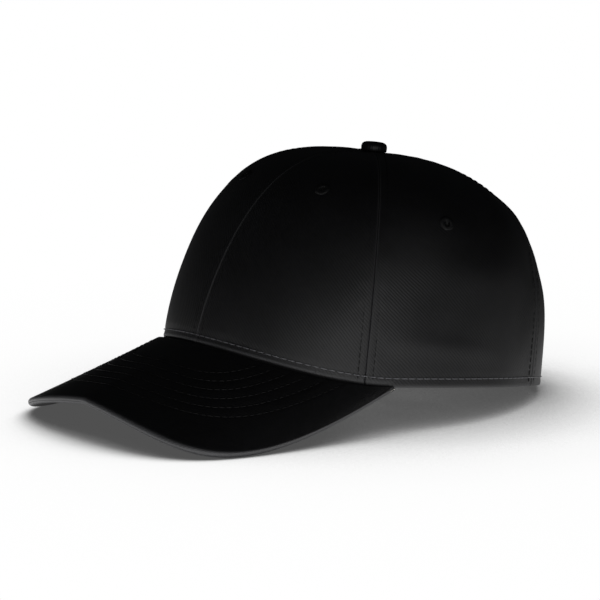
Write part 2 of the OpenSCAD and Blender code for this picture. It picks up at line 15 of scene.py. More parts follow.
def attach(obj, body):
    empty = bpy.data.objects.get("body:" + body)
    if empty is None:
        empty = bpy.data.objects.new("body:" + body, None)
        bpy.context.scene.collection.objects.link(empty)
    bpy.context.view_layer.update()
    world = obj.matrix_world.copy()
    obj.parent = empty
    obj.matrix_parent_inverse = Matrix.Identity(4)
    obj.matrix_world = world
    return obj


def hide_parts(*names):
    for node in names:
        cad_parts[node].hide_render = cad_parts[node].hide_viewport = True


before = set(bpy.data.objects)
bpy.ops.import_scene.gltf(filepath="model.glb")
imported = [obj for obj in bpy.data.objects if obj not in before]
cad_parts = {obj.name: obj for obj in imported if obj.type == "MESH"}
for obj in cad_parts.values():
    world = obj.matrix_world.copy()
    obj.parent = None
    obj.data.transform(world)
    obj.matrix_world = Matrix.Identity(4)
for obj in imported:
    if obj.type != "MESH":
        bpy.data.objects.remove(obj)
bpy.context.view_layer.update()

log = logging.getLogger("cap")

MM = 0.001
WEAVE = "weave"  # name of the map that holds each cloth's own coordinates, in millimetres
PAINTED_HIGHLIGHT = "painted_highlight"  # name of the attribute that says how much painted highlight the cloth gets, 0 to 1
Points = np.ndarray


class Body(enum.Enum):
    """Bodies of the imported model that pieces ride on."""

    CROWN = "crown"
    STRAP = "strap"


class Side(enum.Enum):
    """Sides of the cap as its wearer names them, with the sign of their X."""

    LEFT = 1
    RIGHT = -1


# ---- Small tools ----


def linear(hex_colour: str) -> tuple[float, float, float, float]:
    """Turns an sRGB hex colour to linear RGBA.

    Args:
        hex_colour: Colour such as "#1b1c1f".

    Returns:
        The linear colour, opaque.
    """
    parts = [int(hex_colour[i : i + 2], 16) / 255 for i in (1, 3, 5)]
    flat = [c / 12.92 if c <= 0.04045 else ((c + 0.055) / 1.055) ** 2.4 for c in parts]
    return (*flat, 1.0)


def unit(v: Points) -> Points:
    """Scales vectors to length 1 along the last axis."""
    return v / np.maximum(np.linalg.norm(v, axis=-1, keepdims=True), 1e-12)


def matched(*values: Points) -> list[Points]:
    """Brings numbers and arrays to one shape."""
    return np.broadcast_arrays(*(np.asarray(v, float) for v in values))


def smooth(v: Points, low: float, high: float) -> Points:
    """Gives 0 below low, 1 above high, and a smooth ramp between."""
    u = np.clip((np.asarray(v, float) - low) / (high - low), 0, 1)
    return u * u * (3 - 2 * u)


def bell(v: Points, middle: float, width: float) -> Points:
    """Gives a bell curve of height 1 about middle."""
    return np.exp(-(((np.asarray(v, float) - middle) / width) ** 2))


def lengths(points: Points, axis: int) -> Points:
    """Gives the running length along one axis of a grid of points."""
    step = np.linalg.norm(np.diff(points, axis=axis), axis=-1)
    start = np.zeros_like(np.take(step, [0], axis=axis))
    return np.concatenate([start, np.cumsum(step, axis=axis)], axis=axis)


def grid_normals(points: Points) -> Points:
    """Gives unit normals of a grid whose rows run up and whose columns run to the right."""
    up = np.gradient(points, axis=0)
    right = np.gradient(points, axis=1)
    return unit(np.cross(right, up))


# ---- The cap's form ----


@dataclass(frozen=True)
class CapForm:
    """The cap's form, upright, in millimetres, with the same sizes and names as the CAD source."""

    crown_len: float = 201.5
    crown_wid: float = 176
    crown_h: float = 111.7
    plan_front: float = 0.68
    plan_side: float = 0.6
    plan_back: float = 1.5
    rise_front: float = 1.45
    rise_side: float = 0.48
    rise_back: float = 0.68
    side_seam: float = 57.6
    rim_lift: float = 13.7
    rim_lift_to: float = 66.8
    rim_side_rise: float = 5.7
    rim_tail_drop: float = 4.4
    cloth_t: float = 0.9
    buckram_t: float = 0.8
    tape_t: float = 0.5
    tape_w: float = 12
    ply_gap: float = 0.3
    seam_gap: float = 0.2
    sweat_t: float = 1.2
    sweat_h: float = 31
    brim_tuck_h: float = 8
    brim_reach: float = 63.5
    brim_tip_drop: float = 28
    brim_sweep: float = 86
    brim_sweep_drop: float = 8.4
    brim_corner: float = 81.5
    brim_corner_reach: float = 39.8
    brim_corner_drop: float = 48
    brim_end: float = 66.9
    board_t: float = 2
    brim_cover_t: float = 0.8
    brim_ply_gap: float = 0.15
    arch_r: float = 38
    arch_z: float = 9
    binding_t: float = 0.4
    binding_w: float = 6
    strap_w: float = 20
    strap_t: float = 1.2
    strap_z: float = 4.6
    strap_tuck: float = 19
    slide_gap: float = 0.35
    loop_t: float = 0.5
    loop_tuck: float = 23
    bar_d: float = 2
    buckle_clear: float = 7
    tip: float = 0.97

    @property
    def half_l(self) -> float:
        """Half of the crown's length."""
        return self.crown_len / 2

    @property
    def half_w(self) -> float:
        """Half of the crown's width."""
        return self.crown_wid / 2

    @property
    def back_seam(self) -> float:
        """Angle of the rear seams, which run on from the opposite side seams."""
        return 180 - self.side_seam

    @property
    def brim_half_t(self) -> float:
        """Half of the brim's thickness."""
        return self.board_t / 2 + self.brim_ply_gap + self.brim_cover_t

    @property
    def tape_in(self) -> float:
        """Depth of the first seam tape below the crown's face."""
        return self.cloth_t + self.ply_gap

    @property
    def tuck_in(self) -> float:
        """Depth of the brim cover's edge inside the crown."""
        return self.tape_in + self.buckram_t + self.ply_gap

    @property
    def sweat_in(self) -> float:
        """Depth of the sweatband."""
        return self.tuck_in + self.brim_cover_t + self.ply_gap

    @property
    def strap_in(self) -> float:
        """Depth of the strap where it meets the rear wall."""
        plies = 2 * self.loop_t
        return self.tape_in + self.binding_t + self.ply_gap + plies + self.slide_gap

    def around(self, th: Points, front: float, side: float, back: float) -> Points:
        """Gives a value that runs from the front over the sides to the back.

        Args:
            th: Angle from the front, in degrees.
            front: Value at the front.
            side: Value at the sides.
            back: Value at the back.

        Returns:
            The value at th.
        """
        c = np.cos(np.radians(th))
        return side + (np.where(c > 0, front, back) - side) * c * c

    def plan(self, th: Points) -> Points:
        """Gives the fullness of the plan section."""
        return self.around(th, self.plan_front, self.plan_side, self.plan_back)

    def rise(self, th: Points) -> Points:
        """Gives the rise of the wall."""
        return self.around(th, self.rise_front, self.rise_side, self.rise_back)

    def rim_z(self, th: Points) -> Points:
        """Gives the height of the rim."""
        th = np.asarray(th, float)
        turn = np.radians(th)
        lift = (1 - np.minimum(1, np.abs(th) / self.rim_lift_to) ** 2) ** 2
        tail = np.maximum(0, -np.cos(turn)) ** 6
        sides = self.rim_side_rise * np.sin(turn) ** 2
        return self.rim_lift * lift + sides - self.rim_tail_drop * tail

    def spread(self, th: Points, h: Points) -> Points:
        """Gives the share of the rim's radius that is left at share h of the height."""
        return np.maximum(0, 1 - h ** (2 / self.rise(th))) ** (self.plan(th) / 2)

    def crown_at(self, th: Points, h: Points, depth: Points = 0.0) -> Points:
        """Gives points of the crown.

        Args:
            th: Angle from the front, in degrees.
            h: Share of the height above the rim.
            depth: Depth below the crown's outer face.

        Returns:
            Points whose last axis is x, y, z.
        """
        th, h, depth = matched(th, h, depth)
        r, z, turn = self.spread(th, h), self.rim_z(th), np.radians(th)
        return np.stack(
            [
                (self.half_w - depth) * np.sin(turn) * r,
                -(self.half_l - depth) * np.cos(turn) * r,
                z + (self.crown_h - depth - z) * h,
            ],
            -1,
        )

    def even(self, th: Points, t: Points) -> Points:
        """Gives the share of the height that spaces rings evenly along the wall."""
        t = np.asarray(t, float)
        up, down = t ** (1 / self.rise(th)), (1 - t) ** (1 / self.plan(th))
        return np.sin(np.radians(90 * up / (up + down))) ** self.rise(th)

    def share(self, th: Points, z: Points, depth: Points = 0.0) -> Points:
        """Gives the share of the height that lies z above the rim."""
        return z / (self.crown_h - depth - self.rim_z(th))

    def wall_at(self, th: Points, z: Points, depth: Points = 0.0) -> Points:
        """Gives the point of the wall z above the rim."""
        return self.crown_at(th, self.share(th, z, depth), depth)

    def outward(self, th: Points, z: Points) -> Points:
        """Gives the unit vector square to the crown's face."""
        across = self.wall_at(th + 1.0, z) - self.wall_at(th - 1.0, z)
        up = self.wall_at(th, z + 1.0) - self.wall_at(th, z - 1.0)
        return unit(np.cross(across, up))

    def rear_angle(self, x: Points, z: Points, depth: Points) -> Points:
        """Gives the angle of the rear wall's point that lies x from the middle at height z."""
        th = np.full(np.broadcast(x, z).shape, 155.0)
        for _ in range(7):
            h = np.maximum(0, self.share(th, z - self.rim_z(th), depth))
            r = (self.half_w - depth) * self.spread(th, h)
            th = 180 - np.degrees(np.arcsin(np.minimum(1, x / r)))
        return th

    def rear_at(self, x: Points, z: Points, depth: Points) -> Points:
        """Gives the point of the rear wall x from the middle and at height z."""
        x, z = matched(x, z)
        th = self.rear_angle(np.abs(x), z, depth)
        p = self.wall_at(th, np.maximum(0, z - self.rim_z(th)), depth)
        return np.stack([x, p[..., 1], z], -1)

    @property
    def edge_tip(self) -> Points:
        """Foremost point of the brim's edge."""
        low = float(self.rim_z(0.0)) - self.brim_tip_drop
        return np.array([0, -self.half_l - self.brim_reach, low])

    def edge_at(self, s: Points) -> Points:
        """Gives the brim's outer edge, from the right end (s = -1) over the tip to the left."""
        s = np.asarray(s, float)
        u = np.abs(s)[..., None]
        v = 1 - u
        sweep = self.edge_tip + [self.brim_sweep, 0, -self.brim_sweep_drop]
        reach = -self.half_l - self.brim_corner_reach
        corner = np.array([self.brim_corner, reach, -self.brim_corner_drop])
        end = self.crown_at(self.brim_end, 0.0)
        p = v**3 * self.edge_tip + 3 * v * v * u * sweep + 3 * v * u * u * corner + u**3 * end
        p[..., 0] *= np.where(s < 0, -1, 1)
        return p

    def root_at(self, s: Points) -> Points:
        """Gives the line along which the brim meets the crown."""
        drop = np.array([0, 0, 0.3 * self.brim_half_t])
        return self.crown_at(self.brim_end * np.asarray(s, float), 0.0, -self.ply_gap) - drop

    def width_at(self, s: Points) -> Points:
        """Gives the brim's width."""
        return np.linalg.norm(self.edge_at(s) - self.root_at(s), axis=-1)

    def slim(self, s: Points) -> Points:
        """Gives the share of its thickness that the brim keeps."""
        return np.minimum(1, self.width_at(s) / (3 * self.brim_half_t))

    def across(self, s: Points) -> Points:
        """Gives unit vectors across the brim, towards its edge."""
        return unit(self.edge_at(s) - self.root_at(s))

    def brim_up(self, s: Points, at_edge: bool) -> Points:
        """Gives unit vectors square to the brim, at its edge or at its root."""
        line = self.edge_at if at_edge else self.root_at
        along = line(np.minimum(1, s + 0.01)) - line(np.maximum(-1, s - 0.01))
        return unit(np.cross(self.across(s), along))

    def brim_at(self, s: Points, v: Points, n: Points) -> Points:
        """Gives points of the brim: v across it, n above its middle."""
        s, v, n = matched(s, v, n)
        m = (n * self.slim(s))[..., None]
        w = v[..., None]
        root = self.root_at(s) + m * self.brim_up(s, False)
        return (1 - w) * root + w * (self.edge_at(s) + m * self.brim_up(s, True))

    def edge_round(self, s: Points, r: Points, a: Points) -> Points:
        """Gives points of the brim's rounded edge, at radius r and a degrees up."""
        turn = np.radians(np.asarray(a, float))
        out = (r * np.cos(turn) - self.brim_half_t)[..., None]
        up = (r * np.sin(turn))[..., None]
        reach = self.across(s) * out + self.brim_up(s, True) * up
        return self.edge_at(s) + self.slim(s)[..., None] * reach

    @cached_property
    def stance(self) -> tuple[float, Points, float]:
        """Lean in radians, the rear foot, and the Y of the box's middle."""
        foot = self.wall_at(self.rear_angle(self.arch_r, 0.0, 0.0), 0.0)
        s = np.arange(51) / 60
        r = self.brim_half_t + 0 * s
        low = np.concatenate([self.edge_round(s, r, -90), self.edge_round(s, r, -45)])
        lean = float(np.max(np.arctan2(foot[2] - low[:, 2], foot[1] - low[:, 1])))
        turn = self.turned(lean, foot)
        s = np.arange(21) / 60
        front = turn(self.edge_round(s, self.brim_half_t + 0 * s, 0))[:, 1].min()
        rear = turn(self.wall_at(180.0, self.crown_h * np.arange(21) / 40))[:, 1].max()
        return lean, foot, float((front + rear) / 2)

    @staticmethod
    def turned(lean: float, foot: Points) -> Callable[[Points], Points]:
        """Gives the function that leans points back about the rear foot."""

        def turn(p: Points) -> Points:
            """Leans points back."""
            y, z = p[..., 1] - foot[1], p[..., 2] - foot[2]
            c, s = math.cos(lean), math.sin(lean)
            return np.stack([p[..., 0], y * c + z * s, z * c - y * s], -1)

        return turn

    def stand(self, p: Points) -> Points:
        """Takes points of the upright cap, in millimetres, to the standing one, in metres."""
        lean, foot, origin_y = self.stance
        placed = self.turned(lean, foot)(np.asarray(p, float))
        placed[..., 1] -= origin_y
        return placed * MM

    @cached_property
    def arc(self) -> tuple[float, float]:
        """Y of the strap arc's axis, and the strap's outer radius."""
        top, probe = self.strap_z + self.strap_w, 50.0
        mid = float(self.rear_at(0.0, top, 0.0)[1])
        sag = mid - float(self.rear_at(probe, top, 0.0)[1])
        radius = (probe * probe + sag * sag) / (2 * sag)
        return mid - radius, radius - self.strap_in

    def past_arch(self, length: float) -> float:
        """Gives the angle of the strap's arc that lies a length past the arch's side."""
        radius = self.arc[1]
        return math.degrees(math.asin(self.arch_r / radius) + length / radius)

    @property
    def strap_half(self) -> float:
        """Half of the strap, as an angle of its arc."""
        return self.past_arch(self.strap_tuck)

    @property
    def loop_end(self) -> float:
        """Far end of the buckle's loop, as an angle of the arc."""
        return self.past_arch(self.loop_tuck)

    @property
    def buckle_to(self) -> float:
        """The buckle's end with the bar, as an angle of the arc."""
        return self.past_arch(-self.buckle_clear)

    def on_arc(self, angle: Points, r: Points, z: Points) -> Points:
        """Gives points about the strap arc's axis: angle from the middle, radius and height."""
        angle, r, z = matched(angle, r, z)
        turn = np.radians(angle)
        return np.stack([r * np.sin(turn), self.arc[0] + r * np.cos(turn), z], -1)


FORM = CapForm()


# ---- Meshes ----


@dataclass
class MeshParts:
    """Vertices, faces and cloth coordinates that are gathered into one mesh."""

    points: list[Points] = field(default_factory=list)
    faces: list[Points] = field(default_factory=list)
    weave: list[Points] = field(default_factory=list)
    painted_highlight: list[Points] = field(default_factory=list)
    count: int = 0

    def add(self, points: Points, faces: list[Points], weave: Points | None = None,
            painted_highlight: Points | None = None) -> None:
        """Adds a piece of mesh.

        Args:
            points: Vertices in metres, in the CAD's frame.
            faces: Arrays of faces, each of faces with the same number of corners.
            weave: Cloth coordinates of each vertex, in millimetres.
            painted_highlight: How much painted highlight each vertex gets, 0 to 1.
        """
        points = points.reshape(-1, 3)
        self.points.append(points)
        self.faces += [np.asarray(f) + self.count for f in faces if len(f)]
        flat = np.zeros((len(points), 2)) if weave is None else weave.reshape(-1, 2)
        self.weave.append(flat)
        self.painted_highlight.append(np.zeros(len(points)) if painted_highlight is None else painted_highlight.ravel())
        self.count += len(points)

    def build(self, name: str, crease: float = 50.0) -> bpy.types.Object:
        """Makes the object.

        Args:
            name: Name of the object.
            crease: Angle in degrees above which an edge stays sharp.

        Returns:
            The object, linked to the scene.
        """
        points, weave = np.concatenate(self.points), np.concatenate(self.weave)
        mesh = bpy.data.meshes.new(name)
        mesh.from_pydata(points.tolist(), [], [f for g in self.faces for f in g.tolist()])
        layer = mesh.uv_layers.new(name=WEAVE)
        corner = np.zeros(len(mesh.loops), np.int64)
        mesh.loops.foreach_get("vertex_index", corner)
        layer.uv.foreach_set("vector", weave[corner].astype(np.float32).ravel())
        highlight_paint = mesh.attributes.new(PAINTED_HIGHLIGHT, "FLOAT", "POINT")
        highlight_paint.data.foreach_set("value", np.concatenate(self.painted_highlight).astype(np.float32))
        mesh.validate()
        mesh.shade_smooth()
        mesh.set_sharp_from_angle(angle=math.radians(crease))
        piece = bpy.data.objects.new(name, mesh)
        bpy.context.scene.collection.objects.link(piece)
        return piece


def grid_cells(rows: int, cols: int, closed: bool = False) -> Points:
    """Gives the quads of a grid whose rows run up and whose columns run to the right.

    Args:
        rows: Number of rows of points.
        cols: Number of points in a row.
        closed: Whether the last column joins the first.

    Returns:
        An array of quads.
    """
    i, j = np.meshgrid(np.arange(rows - 1), np.arange(cols if closed else cols - 1), indexing="ij")
    k = (j + 1) % cols
    quads = [i * cols + j, i * cols + k, (i + 1) * cols + k, (i + 1) * cols + j]
    return np.stack(quads, -1).reshape(-1, 4)


def shell(
    parts: MeshParts,
    outer: Points,
    inner: Points,
    weave: Points | None = None,
    keep: Points | None = None,
    closed: bool = False,
    painted_highlight: Points | None = None,
) -> None:
    """Adds a closed sheet between an outer and an inner grid of points.

    Args:
        parts: Where the sheet is added.
        outer: Outer grid in metres, seen from outside with its rows running up.
        inner: Inner grid of the same size.
        weave: Cloth coordinates of the grid's points.
        keep: Which cells are cloth, where the sheet has holes.
        closed: Whether the last column joins the first.
        painted_highlight: How much painted highlight the outer grid's points get, 0 to 1.
    """
    rows, cols = outer.shape[:2]
    cells = grid_cells(rows, cols, closed)
    if keep is not None:
        cells = cells[keep.reshape(-1)]
    count = rows * cols
    a = cells
    b = np.roll(cells, -1, axis=1)
    ahead = (a * count + b).ravel()
    back = (b * count + a).ravel()
    free = ~np.isin(ahead, back)
    a, b = a.ravel()[free], b.ravel()[free]
    walls = np.stack([b, a, a + count, b + count], -1)
    both = None if weave is None else np.concatenate([weave.reshape(-1, 2)] * 2)
    points = np.concatenate([outer.reshape(-1, 3), inner.reshape(-1, 3)])
    used = np.unique(cells)
    used = np.concatenate([used, used + count])
    place = np.zeros(2 * count, np.int64)
    place[used] = np.arange(len(used))
    faces = [place[cells], place[cells[:, ::-1] + count], place[walls]]
    highlight_paint = None if painted_highlight is None else np.concatenate([painted_highlight.ravel()] * 2)[used]
    parts.add(points[used], faces, None if both is None else both[used], highlight_paint)


def cut_size(grid: Points) -> tuple[tuple[float, float], float]:
    """Measures the flat cut that a grid of cloth comes from.

    Args:
        grid: The cloth's face, in metres.

    Returns:
        Its width and length, and its area.
    """
    across, up = lengths(grid, 1)[:, -1].max(), lengths(grid, 0)[-1].max()
    diagonals = np.cross(grid[1:, 1:] - grid[:-1, :-1], grid[1:, :-1] - grid[:-1, 1:])
    area = float(np.linalg.norm(diagonals, axis=-1).sum() / 2)
    return (float(across), float(max(up, area / across))), area


def drape(piece: bpy.types.Object, grid: Points) -> None:
    """Logs the size of the flat cut that a sheet of cloth comes from.

    Args:
        piece: The cloth.
        grid: Its face, in metres, from which the cut is measured.
    """
    flat, area = cut_size(grid)
    flat = tuple(max(0.0101, x) for x in flat)
    log.info("%s: cut %.0f x %.0f mm", piece.name, flat[0] / MM, flat[1] / MM)


@dataclass(frozen=True)
class Stitching:
    """A row of lockstitch: each visible stitch is a short bent thread whose ends dive."""

    pitch: float = 3.3
    thread_d: float = 0.42
    fill: float = 0.86
    ring: int = 6

    def sew(self, parts: MeshParts, line: Points, up: Points) -> int:
        """Adds the stitches that lie along a line on the cloth.

        Args:
            parts: Where the stitches are added.
            line: Points of the line, in millimetres, upright.
            up: Unit vectors square to the cloth at those points.

        Returns:
            The number of stitches.
        """
        run = lengths(line, 0)
        count = int(run[-1] / self.pitch)
        if count < 1:
            return 0
        r = self.thread_d / 2
        at = np.array([-0.5, -0.36, -0.12, 0.12, 0.36, 0.5]) * self.pitch * self.fill
        lift = np.array([-0.9, 0.35, 0.75, 0.75, 0.35, -0.9]) * r
        girth = np.array([0.55, 0.95, 1.0, 1.0, 0.95, 0.55]) * r
        spare = (run[-1] - count * self.pitch) / 2
        middle = spare + (np.arange(count) + 0.5) * self.pitch
        place = middle[:, None] + at
        centre = np.stack([np.interp(place, run, line[:, k]) for k in range(3)], -1)
        normal = unit(np.stack([np.interp(place, run, up[:, k]) for k in range(3)], -1))
        along = unit(np.gradient(centre, axis=1))
        side = unit(np.cross(along, normal))
        top = np.cross(side, along)
        centre = centre + normal * lift[:, None]
        turn = 2 * np.pi * np.arange(self.ring) / self.ring
        around = (
            side[:, :, None] * np.cos(turn)[:, None] + top[:, :, None] * np.sin(turn)[:, None]
        )
        points = centre[:, :, None] + around * girth[:, None, None]
        cells = grid_cells(len(at), self.ring, closed=True)
        per = len(at) * self.ring
        start = (np.arange(count) * per)[:, None]
        first = np.arange(self.ring)[::-1]
        last = np.arange(self.ring) + per - self.ring
        sides = (start[:, :, None] + cells).reshape(-1, 4)[:, ::-1]
        caps = np.concatenate([start + first[::-1], start + last[::-1]])
        weave = np.stack(
            [
                np.broadcast_to(place[:, :, None], points.shape[:3]),
                np.broadcast_to(turn * r, points.shape[:3]),
            ],
            -1,
        )
        parts.add(FORM.stand(points), [sides, caps], weave)
        return count


# ---- Finishes ----


def add(
    tree: bpy.types.NodeTree,
    kind: str,
    inputs: dict[str | int, object] | None = None,
    **settings: object,
) -> bpy.types.Node:
    """Adds a node with its settings and links.

    Args:
        tree: The material's node tree.
        kind: The node's type, without "ShaderNode".
        inputs: Values or sockets for its inputs, by name or index.
        **settings: Values for the node's own properties.

    Returns:
        The node.
    """
    node = tree.nodes.new("ShaderNode" + kind)
    for name, value in settings.items():
        setattr(node, name, value)
    for name, value in (inputs or {}).items():
        if isinstance(value, bpy.types.NodeSocket):
            tree.links.new(value, node.inputs[name])
        else:
            node.inputs[name].default_value = value
    return node


def new_material(name: str) -> tuple[bpy.types.Material, bpy.types.NodeTree]:
    """Makes a material with an empty node tree."""
    material = bpy.data.materials.new(name)
    material.use_nodes = True
    material.node_tree.nodes.clear()
    return material, material.node_tree


def wave(tree: bpy.types.NodeTree, at: object, slant_deg: float, pitch_mm: float) -> object:
    """Adds ridges of one pitch across the cloth.

    Args:
        tree: The material's node tree.
        at: Socket with the cloth coordinates, in millimetres.
        slant_deg: Direction across the ridges, from the weft.
        pitch_mm: Distance from ridge to ridge.

    Returns:
        Socket with the ridges' height, from 0 to 1.
    """
    turn, rate = math.radians(slant_deg), 2 * math.pi / pitch_mm
    across = (math.cos(turn) * rate, math.sin(turn) * rate, 0)
    phase = add(tree, "VectorMath", {0: at, 1: across}, operation="DOT_PRODUCT")
    sine = add(tree, "Math", {0: phase.outputs["Value"]}, operation="SINE")
    half = add(tree, "Math", {0: sine.outputs[0], 1: 0.5, 2: 0.5}, operation="MULTIPLY_ADD")
    return half.outputs[0]


@dataclass(frozen=True)
class ClothFinish:
    """A woven cloth: ridges of its weave, single yarns across them, and lint."""

    name: str
    dark: str
    light: str
    wale_mm: float
    slant_deg: float
    yarn_mm: float
    bump_mm: float
    roughness: float = 0.5
    specular: float = 0.5
    patch_mm: float = 28.0
    # Grey of the painted highlight
    highlight_paint: str = "#4c4c4e"

    def material(self) -> bpy.types.Material:
        """Makes the material.

        Returns:
            The material.
        """
        material, tree = new_material(self.name)
        at = add(tree, "UVMap", uv_map=WEAVE).outputs["UV"]
        # A little wander keeps the ridges from looking ruled
        drift = add(tree, "TexNoise", {"Vector": at, "Scale": 0.12, "Detail": 2.0})
        shift = add(tree, "VectorMath", {0: drift.outputs["Color"], 1: (0.9, 0.9, 0)},
                    operation="MULTIPLY")
        moved = add(tree, "VectorMath", {0: at, 1: shift.outputs[0]}, operation="ADD").outputs[0]
        wale = wave(tree, moved, self.slant_deg, self.wale_mm)
        yarn = wave(tree, moved, self.slant_deg - 63, self.yarn_mm)
        lint = add(tree, "TexNoise", {"Vector": at, "Scale": 1.9, "Detail": 3.0}).outputs[0]
        weave = add(tree, "Math", {0: yarn, 1: 0.35, 2: wale}, operation="MULTIPLY_ADD")
        height = add(tree, "Math", {0: lint, 1: 0.5, 2: weave.outputs[0]},
                     operation="MULTIPLY_ADD")
        patch = add(tree, "TexNoise", {"Vector": at, "Scale": 1 / self.patch_mm, "Detail": 2.0})
        # Slubs: the yarn's thick places, longer than wide
        slub = add(tree, "VectorMath", {0: at, 1: (1.0, 0.35, 0)}, operation="MULTIPLY")
        slub = add(tree, "TexNoise", {"Vector": slub.outputs[0], "Scale": 0.7, "Detail": 3.0})
        # The weave's height tints the colour: painted highlight on the ridge tops, painted shade in
        # the grooves
        tone = add(tree, "Math", {0: height.outputs[0], 1: 0.16, 2: 0.0},
                   operation="MULTIPLY_ADD")
        tone = add(tree, "Math", {0: slub.outputs[0], 1: 0.45, 2: tone.outputs[0]},
                   operation="MULTIPLY_ADD")
        tone = add(tree, "Math", {0: patch.outputs[0], 1: 0.55, 2: tone.outputs[0]},
                   operation="MULTIPLY_ADD")
        level = add(tree, "MapRange", {"Value": tone.outputs[0], "From Min": 0.45,
                                       "From Max": 0.85})
        colour = add(tree, "Mix", {"Factor": level.outputs[0], "A": linear(self.dark),
                                   "B": linear(self.light)}, data_type="RGBA")
        # Painted highlight: the grey is mixed in as far as the mesh's attribute says
        painted_highlight = add(tree, "Attribute", attribute_name=PAINTED_HIGHLIGHT).outputs["Fac"]
        wear_and_highlight = add(tree, "Mix", {"Factor": painted_highlight, "A": colour.outputs["Result"],
                                 "B": linear(self.highlight_paint)}, data_type="RGBA")
        bump = add(tree, "Bump", {"Strength": 1.0, "Distance": self.bump_mm * MM,
                                  "Height": height.outputs[0]})
        shader = add(tree, "BsdfPrincipled", {
            "Base Color": wear_and_highlight.outputs["Result"],
            "Roughness": self.roughness,
            "Specular IOR Level": self.specular,
            "Normal": bump.outputs[0],
        })
        add(tree, "OutputMaterial", {"Surface": shader.outputs[0]})
        return material


@dataclass(frozen=True)
class ThreadFinish:
    """Twisted sewing thread: a fine helix in its bump and a dull gleam."""

    name: str
    colour: str
    twist_mm: float = 0.7
    roughness: float = 0.55
    specular: float = 0.25

    def material(self) -> bpy.types.Material:
        """Makes the material."""
        material, tree = new_material(self.name)
        at = add(tree, "UVMap", uv_map=WEAVE).outputs["UV"]
        ply = wave(tree, at, 40, self.twist_mm)
        bump = add(tree, "Bump", {"Strength": 0.8, "Distance": 0.06 * MM, "Height": ply})
        shader = add(tree, "BsdfPrincipled", {
            "Base Color": linear(self.colour),
            "Roughness": self.roughness,
            "Specular IOR Level": self.specular,
            "Normal": bump.outputs[0],
        })
        add(tree, "OutputMaterial", {"Surface": shader.outputs[0]})
        return material


@dataclass(frozen=True)
class MetalFinish:
    """Pressed and plated sheet metal: tumbled, with fine scratches and patchy lustre."""

    name: str
    colour: str
    wear_and_highlight: str
    roughness: float

    def material(self) -> bpy.types.Material:
        """Makes the material."""
        material, tree = new_material(self.name)
        at = add(tree, "TexCoord").outputs["Object"]
        cloud = add(tree, "TexNoise", {"Vector": at, "Scale": 260.0, "Detail": 4.0}).outputs[0]
        grit = add(tree, "TexNoise", {"Vector": at, "Scale": 2600.0, "Detail": 2.0}).outputs[0]
        colour = add(tree, "Mix", {"Factor": cloud, "A": linear(self.colour),
                                   "B": linear(self.wear_and_highlight)}, data_type="RGBA")
        rough = add(tree, "MapRange", {"Value": cloud, "To Min": self.roughness - 0.08,
                                       "To Max": self.roughness + 0.1})
        bump = add(tree, "Bump", {"Strength": 0.5, "Distance": 0.01 * MM, "Height": grit})
        shader = add(tree, "BsdfPrincipled", {
            "Base Color": colour.outputs["Result"],
            "Metallic": 1.0,
            "Roughness": rough.outputs[0],
            "Normal": bump.outputs[0],
        })
        add(tree, "OutputMaterial", {"Surface": shader.outputs[0]})
        return material


@dataclass(frozen=True)
class BoardFinish:
    """Extruded polyethylene board: milky, with a faint grain from its rollers."""

    name: str
    colour: str

    def material(self) -> bpy.types.Material:
        """Makes the material."""
        material, tree = new_material(self.name)
        at = add(tree, "TexCoord").outputs["Object"]
        grain = add(tree, "TexNoise", {"Vector": at, "Scale": 900.0, "Detail": 3.0}).outputs[0]
        bump = add(tree, "Bump", {"Strength": 0.3, "Distance": 0.02 * MM, "Height": grain})
        shader = add(tree, "BsdfPrincipled", {
            "Base Color": linear(self.colour),
            "Roughness": 0.45,
            "IOR": 1.51,
            "Normal": bump.outputs[0],
        })
        add(tree, "OutputMaterial", {"Surface": shader.outputs[0]})
        return material


